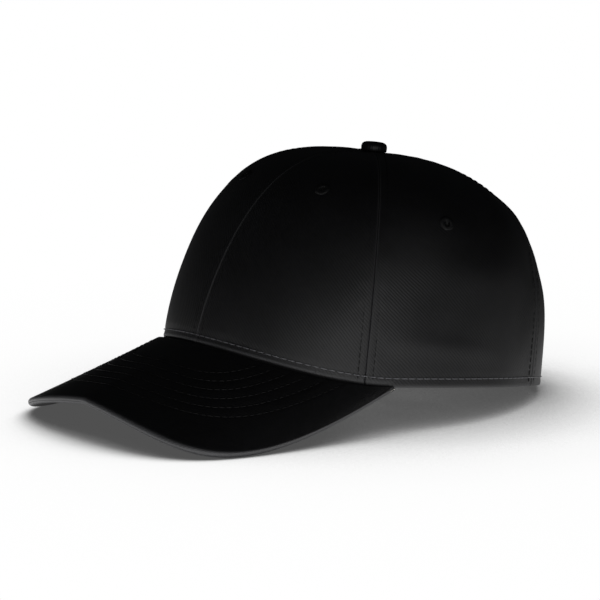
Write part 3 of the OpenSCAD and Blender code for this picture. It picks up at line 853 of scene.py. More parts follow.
class Finishes:
    """The cap's materials, made once and shared."""

    def __init__(self) -> None:
        """Makes every material."""
        # Cotton satin twill, vat-dyed black: steep ridges, painted a little greyer on their tops and
        # darker in their grooves as painted highlight and shade. Its ridges, 0.9 mm apart in the
        # real cloth, are drawn 1.3 mm apart, or they wouldn't show
        self.crown_twill = ClothFinish("cotton_twill_dyed", "#060607", "#171719", 1.3, 48, 0.75,
                                       0.05).material()
        # The same twill, laid the other way on the brim and pressed flatter
        self.brim_twill = ClothFinish("cotton_twill_pressed", "#060607", "#131315", 1.5, 140, 0.75,
                                      0.05).material()
        # Strong twill of strap and binding, cut along the warp
        self.strap_twill = ClothFinish("cotton_twill_narrow", "#070708", "#131315", 1.0, 35, 0.6,
                                       0.08).material()
        # Stiffened open plain weave: coarse threads under a coat of starch
        self.buckram = ClothFinish("buckram_starched", "#1b1b1d", "#39393b", 1.3, 0, 1.3, 0.16,
                                   roughness=0.6, specular=0.4).material()
        # Plain-woven polyester tape: fine ribs across its width
        self.tape = ClothFinish("polyester_tape_woven", "#141416", "#2a2b2e", 0.9, 90, 0.8, 0.06,
                                roughness=0.7).material()
        # Soft cotton band that is worn against the forehead
        self.sweatband = ClothFinish("cotton_band_brushed", "#101012", "#242426", 1.1, 30, 0.7,
                                     0.09).material()
        # Spun polyester sewing thread: a shade lighter than the cloth because it gleams
        self.thread = ThreadFinish("polyester_thread_twisted", "#121213").material()
        # The heavier thread of the rim's row, which stands proud; its light grey colour is a painted
        # highlight
        self.rim_thread = ThreadFinish("polyester_thread_heavy", "#6e6e72", 0.7, 0.3,
                                       0.5).material()
        # Rayon embroidery thread of the eyelets: packed side by side
        self.eyelet_thread = ThreadFinish("rayon_thread_satin", "#131314", 0.9, 0.5).material()
        # Pressed brass with an aged plating: dark in its hollows, bright where it is rubbed
        self.brass = MetalFinish("brass_pressed_aged", "#8c7f66", "#a99c80", 0.34).material()
        # Zinc-plated steel inside the button: dull grey
        self.steel = MetalFinish("steel_zinc_plated", "#8b8e92", "#a3a6a9", 0.42).material()
        # White polyethylene board inside the brim
        self.board = BoardFinish("polyethylene_board_extruded", "#d8d6cf").material()


def coat(name: str, material: bpy.types.Material) -> None:
    """Gives a CAD node that stays in view its material, and its slot where it has a new one."""
    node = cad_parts[name]
    node.data.materials.clear()
    node.data.materials.append(material)


def dress(
    piece: bpy.types.Object,
    material: bpy.types.Material,
    body: Body = Body.CROWN,
    nodes: tuple[str, ...] = (),
) -> bpy.types.Object:
    """Gives a piece its material, body, slot and the CAD nodes it stands for.

    Args:
        piece: The piece.
        material: Its finish.
        body: The body it rides on.
        nodes: CAD nodes that it replaces.

    Returns:
        The piece.
    """
    piece.data.materials.clear()
    piece.data.materials.append(material)
    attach(piece, body.value)
    if nodes:
        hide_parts(*nodes)
    log.info("%s: %d faces", piece.name, len(piece.data.polygons))
    return piece


# ---- Crown ----


@dataclass(frozen=True)
class Dimple:
    """A soft hollow (or, if its depth is negative, a bulge) in a panel."""

    th: float
    z: float
    wide: float
    high: float
    depth: float
    tilt: float = 0.0

    def depth_at(self, th: Points, z: Points, radius: Points) -> Points:
        """Gives the hollow's depth at points of the wall at th and z, where its radius is given."""
        x = np.radians(th - self.th) * radius
        y = z - self.z
        c, s = math.cos(math.radians(self.tilt)), math.sin(math.radians(self.tilt))
        along, across = x * c + y * s, y * c - x * s
        return self.depth * np.exp(-((along / self.wide) ** 2) - (across / self.high) ** 2)


@dataclass
class Crown:
    """Six gores of twill, sewn edge to edge, with their inner plies, eyelets and button."""

    finishes: Finishes
    topstitch: float = 3.5
    rim_stitch: float = 4.5
    roll_z: float = 1.9
    stitch: Stitching = Stitching(thread_d=0.36)
    rim_sewing: Stitching = Stitching(pitch=4.0, thread_d=0.55)
    stitch_sink: float = 0.12
    rim_stitch_proud: float = 0.06
    eyelet_d: float = 7.2
    eyelet_hole_d: float = 2.2
    eyelet_bead: float = 0.8
    eyelet_threads: int = 42
    eyelets: tuple[tuple[float, float], ...] = ((32.2, 84.5), (80.4, 78.8), (150.0, 78.0))
    button_d: float = 13.0
    button_h: float = 4.6
    button_cloth_t: float = 0.72
    dimples: tuple[Dimple, ...] = (
        Dimple(92, 57, 30, 11, -1.2, 3),
        Dimple(97, 89, 17, 9, 1.5, 4),
        Dimple(112, 34, 9, 18, 0.9, -8),
        Dimple(120, 58, 6, 10, 0.9, 20),
        Dimple(124, 84, 6, 8, -0.8, 25),
        Dimple(80, 20, 26, 5, -0.5, -6),
        Dimple(38, 56, 16, 20, 0.6, 10),
        Dimple(66, 12, 8, 9, 0.45, 30),
        Dimple(-75, 40, 14, 18, 0.7, 10),
        Dimple(-100, 66, 12, 14, 0.8, -14),
        Dimple(-112, 26, 10, 18, 0.8, 8),
        Dimple(140, 60, 14, 10, 0.7, 20),
        Dimple(-146, 56, 12, 13, 0.7, -20),
        Dimple(160, 74, 10, 8, 0.5, 0),
        Dimple(14, 4, 12, 4, 0.35, 10),
    )

    def seam_relief(self, x: Points, along: Points) -> Points:
        """Gives the cloth's height near a seam.

        Args:
            x: Distance from the seam, in millimetres.
            along: Distance along the seam, in millimetres.

        Returns:
            Height over the plain form: a sharp valley at the seam, a flat welt beside it.
        """
        welt = 0.12 * smooth(x, 0.0, 1.1) * (1 - smooth(x, 4.0, 9.5))
        row = -0.08 * bell(x, self.topstitch, 0.6)
        pucker = 0.07 * np.sin(along / 1.9 + np.sin(along / 7.3) * 1.4) * bell(x, 5.2, 2.2)
        return -0.35 * bell(x, 0.0, 0.3) + welt + row + pucker

    def relief(self, th: Points, z: Points, radius: Points) -> Points:
        """Gives the slow unevenness of the cloth away from its seams."""
        slow = 0.16 * np.sin(th / 5.1 + z / 19.0) + 0.12 * np.sin(th / 3.3 - z / 12.0 + 1.3)
        hollow = sum(d.depth_at(th, z, radius) for d in self.dimples)
        return slow * smooth(np.abs(th), 20, 60) - hollow

    def gore(self, start: float, end: float) -> tuple[Points, Points, Points, Points]:
        """Computes a gore's grid, with columns close together beside its seams.

        Args:
            start: Angle of its right-hand seam, seen from outside.
            end: Angle of its left-hand seam.

        Returns:
            Angles, shares up the wall, distance to the nearer seam, and distance across.
        """
        beside = np.array([FORM.seam_gap / 2, 0.2, 0.4, 0.65, 1.0, 1.6, 2.4, 3.0, 3.5, 4.1, 5.2])
        inner_cols = 40
        t = np.concatenate([[0, 0.004, 0.009, 0.016, 0.026], np.linspace(0.036, FORM.tip, 78)])
        probe = np.linspace(start, end, 121)
        angles, near, across = [], [], []
        for share in t:
            run = lengths(FORM.crown_at(probe, FORM.even(probe, share))[None], 1)[0]
            width = run[-1]
            edge = beside * min(1.0, width / 2 / 6.4)
            middle = np.linspace(edge[-1], width - edge[-1], inner_cols + 2)[1:-1]
            place = np.concatenate([edge, middle, (width - edge)[::-1]])
            angles.append(np.interp(place, run, probe))
            near.append(np.minimum(place, width - place))
            across.append(place - width / 2)
        rows = t[:, None] + np.zeros_like(np.array(angles))
        return np.array(angles), rows, np.array(near), np.array(across)

    def panel(self, name: str, start: float, end: float, slant: float) -> Points:
        """Builds one gore of twill.

        Args:
            name: Name of the CAD node that it replaces.
            start: Angle at which it starts.
            end: Angle at which it ends.
            slant: Sign of the weave's slant across the panel.

        Returns:
            The grid of its outer face, in metres.
        """
        th, t, near, across = self.gore(start, end)
        h = FORM.even(th, t)
        base = FORM.crown_at(th, h)
        up = lengths(base, 0)
        z = base[..., 2] - FORM.rim_z(th)
        radius = np.linalg.norm(base[..., :2], axis=-1)
        lift = self.seam_relief(near, up) + self.relief(th, z, radius)
        # The hem is tucked in, its row of stitches draws it down, and it folds over in a small
        # roll where the brim's cloth meets it
        hem = -0.5 * bell(z, 0.0, 0.55) - 0.25 * bell(z, self.rim_stitch - 0.2, 0.7)
        brim = 1 - smooth(np.abs(th), FORM.brim_end - 3, FORM.brim_end)
        hem += 0.3 * bell(z, self.roll_z, 0.55) * brim
        fade = smooth(radius, 6.0, 16.0)
        lift = (lift * fade + hem)[..., None]
        normal = grid_normals(base)
        outer = FORM.stand(base + normal * lift)
        inner = FORM.stand(FORM.crown_at(th, h, FORM.cloth_t) + 0 * normal)
        keep = self.kept_cells(base, name.startswith("back"))
        parts = MeshParts()
        weave = np.stack([across * slant, up], -1)
        # Painted highlight: thin pale lines beside each seam, along the hem, and on the roll where
        # the brim's cloth meets the crown
        painted_highlight = (0.5 * bell(near, 0.35, 0.25) * smooth(z, 2, 5) + 0.5 * bell(z, 0.2, 0.6)
                  + 1.2 * bell(z, self.roll_z, 0.55) * brim)
        shell(parts, outer, inner, weave, keep, painted_highlight=np.clip(painted_highlight, 0, 1))
        piece = parts.build(name + "_twill", 60)
        dress(piece, self.finishes.crown_twill, nodes=(name,))
        drape(piece, outer)
        return outer

    def kept_cells(self, base: Points, rear: bool) -> Points:
        """Says which cells of a gore are cloth: not the eyelet holes, nor the rear arch."""
        centre = (base[1:, 1:] + base[:-1, :-1] + base[1:, :-1] + base[:-1, 1:]) / 4
        keep = np.ones(centre.shape[:2], bool)
        for side in Side:
            for th, z in self.eyelets:
                at = FORM.wall_at(side.value * th, z)
                keep &= np.linalg.norm(centre - at, axis=-1) > self.eyelet_hole_d / 2 + 0.55
        if rear:
            x, z = centre[..., 0], centre[..., 2]
            over = np.hypot(x, z - FORM.arch_z) < FORM.arch_r
            keep &= ~(((z > FORM.arch_z) & over) | ((z <= FORM.arch_z) & (abs(x) < FORM.arch_r)))
        return keep

    def seams(self) -> None:
        """Sews the rows of topstitching on both sides of every seam."""
        parts, count = MeshParts(), 0
        for seam in (0.0, FORM.side_seam, FORM.back_seam, 180.0, -FORM.back_seam,
                     -FORM.side_seam):
            t = np.linspace(0.012, 0.955, 90)
            if seam == 180.0:
                t = t[FORM.crown_at(180.0, FORM.even(180.0, t))[:, 2]
                      > FORM.arch_z + FORM.arch_r + FORM.binding_w * 0.5]
            for way in (-1, 1):
                base = FORM.crown_at(seam, FORM.even(seam, t))
                rho = np.linalg.norm(base[:, :2], axis=-1)
                th = seam + way * np.degrees(np.arcsin(np.minimum(0.9, self.topstitch / rho)))
                line = FORM.crown_at(th, FORM.even(th, t))
                normal = self.normal_at(th, t)
                count += self.stitch.sew(parts, line - self.stitch_sink * normal, normal)
        piece = parts.build("seam_topstitching")
        dress(piece, self.finishes.thread)
        log.info("seam_topstitching: %d stitches", count)

    def normal_at(self, th: Points, t: Points) -> Points:
        """Gives unit vectors square to the crown at angle th and share t up the wall."""
        step = 0.004
        high, low = np.minimum(0.999, t + step), np.maximum(0.0001, t - step)
        up = FORM.crown_at(th, FORM.even(th, high)) - FORM.crown_at(th, FORM.even(th, low))
        wide = FORM.crown_at(th + 0.6, FORM.even(th, t)) - FORM.crown_at(
            th - 0.6, FORM.even(th, t)
        )
        return unit(np.cross(wide, up))

    def rim_row(self) -> None:
        """Sews the row round the rim that holds the sweatband and the brim."""
        parts = MeshParts()
        end = float(FORM.rear_angle(FORM.arch_r + 2.5, self.rim_stitch, 0.0))
        th = np.linspace(-end, end, 400)
        line = FORM.wall_at(th, self.rim_stitch)
        normal = FORM.outward(th, np.full_like(th, self.rim_stitch))
        self.rim_sewing.sew(parts, line + self.rim_stitch_proud * normal, normal)
        piece = parts.build("rim_topstitching")
        dress(piece, self.finishes.rim_thread)

    def eyelet_rings(self) -> None:
        """Builds the six sewn eyelets: satin stitches packed round each hole."""
        parts = MeshParts()
        r0, r2, bead = self.eyelet_hole_d / 2, self.eyelet_d / 2, self.eyelet_bead
        steps = self.eyelet_threads * 4
        turn = 2 * np.pi * np.arange(steps) / steps
        for side in Side:
            for th, z in self.eyelets:
                deep = FORM.cloth_t + 2 * FORM.ply_gap
                if th < FORM.side_seam:
                    deep += FORM.buckram_t + FORM.ply_gap
                path = np.array([
                    [r2 + 0.05, -0.05], [r2 - 0.12, 0.3 * bead], [r2 - 0.5, 0.72 * bead],
                    [r2 - 1.1, 0.98 * bead], [r0 + 0.85, bead], [r0 + 0.4, 0.85 * bead],
                    [r0 + 0.08, 0.45 * bead], [r0, -0.2], [r0, -deep + 0.2],
                    [r0 + 0.3, -deep - 0.45 * bead], [r2 - 1.1, -deep - 0.6 * bead],
                    [r2 - 0.2, -deep - 0.2 * bead], [r2, -deep + 0.1],
                    [r0 + 0.75, -deep + 0.15], [r0 + 0.75, -0.1],
                ])
                ridge = 0.5 + 0.5 * np.cos(turn * self.eyelet_threads)
                uneven = 0.5 + 0.5 * np.sin(turn * 5 + th)
                at = FORM.wall_at(side.value * th, z)
                n = FORM.outward(np.array(side.value * th), np.array(z))
                e1 = unit(np.cross([0, 0, 1.0], n))
                e2 = np.cross(n, e1)
                r = path[:, 0, None] + np.zeros(steps)
                h = path[:, 1, None] + np.zeros(steps)
                front = (path[:, 1] > -0.1) & (path[:, 0] > r0)
                r[:3] += 0.16 * uneven + 0.07 * ridge
                h[front] += 0.11 * ridge - 0.05 * uneven
                ring = (at + n * h[..., None]
                        + e1 * (r * np.cos(turn))[..., None]
                        + e2 * (r * np.sin(turn))[..., None])
                ring = np.concatenate([ring, ring[:1]])
                weave = np.stack([np.broadcast_to(turn * r0, ring.shape[:2]),
                                  lengths(ring, 0)], -1)
                cells = grid_cells(len(ring), steps, closed=True)
                rows = len(ring) - 1
                cells = np.where(cells >= rows * steps, cells - rows * steps, cells)
                parts.add(FORM.stand(ring[:-1]), [cells[:, ::-1]], weave[:-1])
        piece = parts.build("eyelet_embroidery", 70)
        dress(piece, self.finishes.eyelet_thread, nodes=("eyelets",))

    def button(self) -> None:
        """Builds the cloth that covers the button, drawn over its rim in small pleats."""
        steps = 96
        turn = 2 * np.pi * np.arange(steps) / steps
        r, height = self.button_d / 2, self.button_h
        fall = self.fall_at(turn, r * 0.95) + 0.15

        def dome(inset: float) -> Points:
            """Gives the dome's rows, inset from its full size."""
            rad, top = r - inset, height - inset
            angle = np.radians(np.linspace(0, 88, 16))
            rows = [(rad * 0.82, 0.05 + inset * 0.5), (rad * 0.93, 0.02 + inset * 0.5),
                    (rad * 0.985, 0.35)]
            rows += [(rad * math.cos(a) ** 0.45, top * (0.35 + 0.65 * math.sin(a) ** 0.8))
                     for a in angle]
            pleat = np.cos(turn * 9) * 0.05 + np.cos(turn * 14 + 1) * 0.03
            grid = []
            for rr, zz in rows:
                low = (1 - smooth(zz, 0.5, 2.6)) * (1 if inset == 0 else 0)
                reach = rr + pleat * low
                # The cloth's edge is drawn down on to the crown all round
                lift = FORM.crown_h + FORM.ply_gap + zz + fall * (1 - smooth(zz, 0.1, 1.9))
                grid.append(np.stack([reach * np.cos(turn), reach * np.sin(turn), lift], -1))
            return np.array(grid)

        outer, inner = dome(0.0), dome(self.button_cloth_t)
        summit = FORM.crown_h + FORM.ply_gap + height
        top = FORM.stand(np.array([[0, 0, summit], [0, 0, summit - self.button_cloth_t]]))
        piece = self.close_dome(FORM.stand(outer), FORM.stand(inner), top, outer[..., :2])
        dress(piece, self.finishes.crown_twill, nodes=("button_cover",))

    @staticmethod
    def fall_at(turn: Points, radius: float) -> Points:
        """Gives how far the crown lies below its tip, at one distance from it.

        Args:
            turn: Directions from the tip, in radians from +x.
            radius: Distance from the tip, in millimetres.

        Returns:
            Heights over the tip's ply, negative.
        """
        th = np.linspace(-180, 177, 120)
        t = np.linspace(0.85, FORM.tip, 60)[:, None]
        top = FORM.crown_at(th, FORM.even(th, t))[::-1]
        away = np.hypot(top[..., 0], top[..., 1])
        way = np.arctan2(top[-1, :, 1], top[-1, :, 0])
        low = np.array([np.interp(radius, away[:, k], top[:, k, 2]) for k in range(len(th))])
        order = np.argsort(way)
        here = np.interp(turn, way[order], low[order], period=2 * np.pi)
        return here - FORM.crown_h - FORM.ply_gap

    @staticmethod
    def close_dome(outer: Points, inner: Points, top: Points,
                   weave: Points) -> bpy.types.Object:
        """Makes the button's cover from its two faces, each closed at its top by a fan.

        Args:
            outer: Outer grid.
            inner: Inner grid.
            top: Outer and inner top points.
            weave: Cloth coordinates of the outer grid.

        Returns:
            The button's cover.
        """
        rows, steps = outer.shape[:2]
        made = MeshParts()
        cells = grid_cells(rows, steps, closed=True)
        count = rows * steps
        points = np.concatenate([outer.reshape(-1, 3), inner.reshape(-1, 3), top])
        j = np.arange(steps)
        k = (j + 1) % steps
        last = (rows - 1) * steps
        fans = np.concatenate([
            np.stack([last + j, last + k, np.full(steps, 2 * count)], -1),
            np.stack([count + last + k, count + last + j, np.full(steps, 2 * count + 1)], -1),
        ])
        foot = np.stack([k, j, j + count, k + count], -1)
        flat = np.concatenate([weave.reshape(-1, 2)] * 2 + [np.zeros((2, 2))])
        made.add(points, [cells, cells[:, ::-1] + count, foot, fans], flat)
        return made.build("button_twill", 60)

    def build(self) -> None:
        """Builds and dresses the crown."""
        seam, rear = FORM.side_seam, FORM.back_seam
        for side in Side:
            word = side.name.lower()
            spans = {"front": (0, seam), "side": (seam, rear), "back": (rear, 180)}
            for place, (a, b) in spans.items():
                start, end = (a, b) if side is Side.LEFT else (-b, -a)
                self.panel(f"{place}_panel_{word}", start, end, 1.0)
        self.seams()
        self.rim_row()
        self.eyelet_rings()
        self.button()


@dataclass
class Lining:
    """What lies inside the crown: buckram, seam tapes and sweatband."""

    finishes: Finishes
    buckram_low: float = 0.02
    buckram_top: float = 0.72
    tape_foot: float = 10.0
    eyelet_room: float = 2.6
    rivet_room: float = 1.9
    low_row: float = 3.2
    high_rows: tuple[float, ...] = (3.0, 5.5)
    sewing: Stitching = Stitching(pitch=3.0, thread_d=0.36)

    def buckram(self, side: Side) -> None:
        """Builds the stiffening behind one front panel."""
        edge = FORM.tape_w / 2 + 2
        t = np.linspace(self.buckram_low, self.buckram_top, 36)[:, None]
        f = np.linspace(0, 1, 30)[None]
        start = 0.0 if side is Side.LEFT else -FORM.side_seam
        mid = start + FORM.side_seam * f
        depth = FORM.tape_in
        p = FORM.crown_at(mid, FORM.even(mid, t), depth)
        rho = np.linalg.norm(p[..., :2], axis=-1)
        inset = np.degrees(np.arcsin(np.minimum(0.9, edge / rho)))
        th = start + inset + (FORM.side_seam - 2 * inset) * f
        outer = FORM.stand(FORM.crown_at(th, FORM.even(th, t), depth))
        inner = FORM.stand(FORM.crown_at(th, FORM.even(th, t), depth + FORM.buckram_t))
        keep = np.ones((outer.shape[0] - 1, outer.shape[1] - 1), bool)
        centre = (outer[1:, 1:] + outer[:-1, :-1]) / 2
        th_hole, z_hole = Crown.eyelets[0]
        hole = FORM.stand(FORM.wall_at(side.value * th_hole, z_hole))
        keep &= np.linalg.norm(centre - hole, axis=-1) > self.eyelet_room * MM
        parts = MeshParts()
        weave = np.stack([rho * np.radians(th), lengths(outer, 0) / MM], -1)
        shell(parts, outer, inner, weave, keep)
        name = f"buckram_{side.name.lower()}"
        piece = parts.build(name + "_weave")
        dress(piece, self.finishes.buckram, nodes=(name,))
        drape(piece, outer)

    def ring_at(self, th: float, z: float) -> float:
        """Gives the share up the wall whose point lies z above the rim."""
        t = np.linspace(0, 1, 2000)
        z_at = FORM.even(th, t) * (FORM.crown_h - FORM.rim_z(th))
        return float(np.interp(z, z_at, t))

    def tape(self, name: str, seam: float, far_z: float, layer: int) -> None:
        """Builds a tape that runs up one seam, over the top and down the seam opposite.

        Args:
            name: Name of the CAD node that it replaces.
            seam: Angle of the seam it starts on.
            far_z: Height above the rim at which its far end stops.
            layer: Its place in the stack at the top.
        """
        rows, cols = 40, 7
        near_foot, far_foot = self.ring_at(seam, self.tape_foot), self.ring_at(seam + 180, far_z)
        w = FORM.tape_w * (np.arange(cols) / (cols - 1) - 0.5)
        grids = []
        for extra in (0.0, FORM.tape_t):
            grid = []
            for i in range(-rows, rows + 1):
                th = seam if i <= 0 else seam + 180
                foot = near_foot if i < 0 else far_foot
                share = foot + (1 - foot) * (rows - abs(i)) / rows
                deep = FORM.tape_in + extra + layer * (FORM.tape_t + FORM.ply_gap) * float(
                    smooth(share, 0.75, 0.85))
                way = w if i <= 0 else -w
                grid.append(self.tape_point(th, share, way, deep))
            grids.append(FORM.stand(np.array(grid)))
        outer, inner = grids
        parts = MeshParts()
        weave = np.stack([np.broadcast_to(w, outer.shape[:2]), lengths(outer, 0) / MM], -1)
        centre = (outer[1:, 1:] + outer[:-1, :-1]) / 2
        rivet = FORM.stand(np.array([0, 0, FORM.crown_h - 1.5]))
        keep = np.linalg.norm((centre - rivet)[..., :2], axis=-1) > self.rivet_room * MM
        shell(parts, outer, inner, weave, keep)
        piece = parts.build(name + "_woven")
        dress(piece, self.finishes.tape, nodes=(name,))
        drape(piece, outer)

    @staticmethod
    def tape_point(th: float, t: float, w: Points, depth: float) -> Points:
        """Gives the points w off a seam, at share t up the wall."""
        h = float(FORM.even(th, t))
        p = FORM.crown_at(th, h)
        turn = math.radians(th)
        reach = math.hypot(FORM.half_w * math.sin(turn), FORM.half_l * math.cos(turn))
        rho = math.hypot(p[0], p[1])
        side_th = th + np.degrees(np.arctan2(w, max(rho, 0.001)))
        r = rho / reach
        r2 = np.minimum(1, np.sqrt(r * r + (w / reach) ** 2 * (1 - r * r)))
        h2 = np.maximum(0, 1 - r2 ** (2 / FORM.plan(side_th))) ** (FORM.rise(side_th) / 2)
        return FORM.crown_at(side_th, np.where(r2 > 0.999, h, h2), depth)

    def sweatband(self) -> None:
        """Builds the sweatband and the rows that hem it."""
        back_in = FORM.strap_in + FORM.strap_t + 2 * FORM.slide_gap
        end = float(FORM.rear_angle(FORM.arch_r + 1, FORM.strap_z, back_in))
        th = np.linspace(-end, end, 260)[None]
        z = np.concatenate([[0, 0.5], np.linspace(1.2, FORM.sweat_h - 1.2, 22),
                            [FORM.sweat_h - 0.5, FORM.sweat_h]])[:, None]
        deep = FORM.sweat_in + (back_in - FORM.sweat_in) * smooth(
            np.abs(th), FORM.back_seam - 12, FORM.back_seam + 12)
        hem = 0.3 * (bell(z, 0, 0.7) + bell(z, FORM.sweat_h, 0.7))
        slack = 0.12 * np.sin(th / 3.1) * smooth(z, 6, 14) * (1 - smooth(z, 20, 29))
        outer = FORM.wall_at(th, z, deep + hem)
        inner = FORM.wall_at(th, z, deep + FORM.sweat_t - hem + slack)
        parts = MeshParts()
        weave = np.stack([lengths(outer, 1), np.broadcast_to(z, outer.shape[:2])], -1)
        shell(parts, FORM.stand(outer), FORM.stand(inner), weave)
        piece = parts.build("sweatband_brushed")
        dress(piece, self.finishes.sweatband, nodes=("sweatband",))
        drape(piece, FORM.stand(outer))
        rows = MeshParts()
        for height in (self.low_row, *(FORM.sweat_h - row for row in self.high_rows)):
            turn = th[0]
            depth = deep[0] + FORM.sweat_t
            line = FORM.wall_at(turn, height, depth)
            normal = -FORM.outward(turn, np.full_like(turn, height))
            self.sewing.sew(rows, line + 0.05 * normal, normal)
        stitched = rows.build("sweatband_stitching")
        dress(stitched, self.finishes.thread)

    def build(self) -> None:
        """Builds and dresses the lining."""
        for side in Side:
            self.buckram(side)
        arch_top = FORM.arch_z + FORM.arch_r + FORM.binding_w + 1
        self.tape("centre_seam_tape", 0.0, arch_top - float(FORM.rim_z(180.0)), 0)
        self.tape("cross_seam_tape_left", FORM.side_seam, self.tape_foot, 1)
        self.tape("cross_seam_tape_right", -FORM.side_seam, self.tape_foot, 2)
        self.sweatband()


# ---- Brim ----


@dataclass
class Brim:
    """The brim's two covers, rolled over its board, and the rows sewn through them."""

    finishes: Finishes
    rows_from_edge: tuple[float, ...] = (17.0, 23.0, 29.0, 35.0, 41.0, 47.0)
    stitch: Stitching = Stitching(pitch=3.4)
    cols: int = 240
    face_rows: int = 118
    last: float = 0.993
    seam_deg: float = 3.0
    blend: float = 7.0
    sink: float = 0.12

    @cached_property
    def s(self) -> Points:
        """Places along the brim, closer together towards its ends."""
        x = np.linspace(-1, 1, self.cols + 1)
        return self.last * (0.6 * x + 0.4 * np.sin(np.radians(90 * x)))

    @cached_property
    def edge_line(self) -> Points:
        """The outer edge as a dense line."""
        return FORM.edge_at(np.linspace(-1, 1, 500))

    def blended(self, points: Points) -> Points:
        """Gives the distance of points from the brim's edge, blended where two parts are near."""
        flat = points.reshape(-1, 3)
        found = np.empty(len(flat))
        for k in range(0, len(flat), 4000):
            part = flat[k : k + 4000, None] - self.edge_line[None]
            away = np.sqrt((part**2).sum(-1))
            near = away.min(1, keepdims=True)
            total = np.exp((near - away) / self.blend).mean(1)
            found[k : k + 4000] = near[:, 0] - self.blend * np.log(total)
        return found.reshape(points.shape[:-1])

    @cached_property
    def middle_line(self) -> tuple[Points, Points]:
        """Blended and true distances from the edge along the brim's middle."""
        v = np.linspace(0.0, 1.0, 200)
        line = FORM.brim_at(0.0, v, 0.0)
        true = np.linalg.norm(line - FORM.edge_at(0.0), axis=-1)
        blended = self.blended(line)
        order = np.argsort(blended)
        return blended[order], true[order]

    def from_edge(self, points: Points) -> Points:
        """Gives distances from the edge, in millimetres as measured along the brim's middle."""
        return np.interp(self.blended(points), *self.middle_line)

    def relief(self, away: Points) -> Points:
        """Gives the cloth's height over the plain brim at a distance from its edge."""
        low = sum(-0.16 * bell(away, row, 0.6) for row in self.rows_from_edge)
        first, final = self.rows_from_edge[0], self.rows_from_edge[-1]
        pitch = self.rows_from_edge[1] - first
        swell = 0.1 * np.sin(np.pi * (away - first) / pitch) ** 2
        inside = smooth(away, first - 1, first) * (1 - smooth(away, final, final + 1))
        return low + swell * inside

    def cover(self, side: int, n: float, tucked: bool) -> Points:
        """Computes one face of a cover, column by column along the brim.

        Args:
            side: 1 for the top cover, -1 for the under cover.
            n: Distance of the face from the brim's middle.
            tucked: Whether this is the cover's inner face.

        Returns:
            Grid whose rows run from the edge to the crown.
        """
        s = self.s[None]
        thin = FORM.slim(self.s)
        last = 1 - thin * FORM.brim_half_t / FORM.width_at(self.s)
        a = np.linspace(self.seam_deg, 90, 10)[:, None]
        rounded = FORM.edge_round(s + 0 * a, n + 0 * a + 0 * s, side * a + 0 * s)
        v = np.linspace(1, 0.04, self.face_rows)[1:, None] * last[None]
        base = FORM.brim_at(s + 0 * v, v, side * n)
        if not tucked:
            lift = self.relief(self.from_edge(base)) * thin
            base = FORM.brim_at(s + 0 * v, v, side * (n + lift))
        return np.concatenate([rounded, base])

    def top_cover(self) -> None:
        """Builds the top cover: over the edge, up the face, and down into the crown's seam."""
        s, thin = self.s, FORM.slim(self.s)[:, None]
        th = FORM.brim_end * s
        grids = []
        for drop in (0.0, FORM.brim_cover_t):
            n = FORM.brim_half_t - drop
            down = np.array([0, 0, 1.0]) * (FORM.ply_gap + drop * thin)
            inside = FORM.tuck_in + drop
            roll = [
                FORM.brim_at(s, 0.02, n),
                0.5 * FORM.brim_at(s, 0.0, n) + 0.5 * (FORM.crown_at(th, 0.0, -0.2 - drop) - down),
                FORM.crown_at(th, 0.0, 0.15) - down,
                FORM.crown_at(th, 0.0, inside * 0.6) - down,
                FORM.crown_at(th, 0.0, inside) - 0.6 * down,
                FORM.wall_at(th, FORM.brim_tuck_h / 2, inside),
                FORM.wall_at(th, FORM.brim_tuck_h, inside),
            ]
            grids.append(np.concatenate([self.cover(1, n, drop > 0), np.array(roll)]))
        self.finish("brim_top_cover", grids, 1)

    def under_cover(self) -> None:
        """Builds the under cover, whose inner edge lies under the sweatband."""
        s, thin = self.s, FORM.slim(self.s)[:, None]
        th = FORM.brim_end * s
        grids = []
        for drop in (0.0, FORM.brim_cover_t):
            n = FORM.brim_half_t - drop
            low = np.array([0, 0, 1.0]) * (2 * (FORM.ply_gap + FORM.brim_cover_t) - drop) * thin
            foot = FORM.crown_at(th, 0.0, FORM.sweat_in + FORM.sweat_t) - low
            half = FORM.crown_at(th, 0.0, FORM.sweat_in * 0.4) - low
            rows = [FORM.brim_at(s, 0.02, -n), half, foot]
            grids.append(np.concatenate([self.cover(-1, n, drop > 0), np.array(rows)])[::-1])
        self.finish("brim_under_cover", grids, -1)

    def finish(self, name: str, grids: list[Points], way: int) -> None:
        """Makes a cover from its outer and inner grids, whose rows run up, and dresses it."""
        outer, inner = (FORM.stand(g) for g in grids)
        # Painted highlight where the cloth rolls over the board's edge
        row = np.arange(len(outer))[::way, None]
        painted_highlight = 0.6 * (1 - smooth(row, 6, 11))
        weave = np.stack([lengths(outer, 1) / MM, lengths(outer, 0) / MM], -1)
        weave[..., 0] -= weave[:, self.cols // 2, None, 0]
        parts = MeshParts()
        shell(parts, outer, inner, weave, painted_highlight=painted_highlight + 0 * weave[..., 0])
        piece = parts.build(name + "_twill", 60)
        dress(piece, self.finishes.brim_twill, nodes=(name,))
        drape(piece, outer)

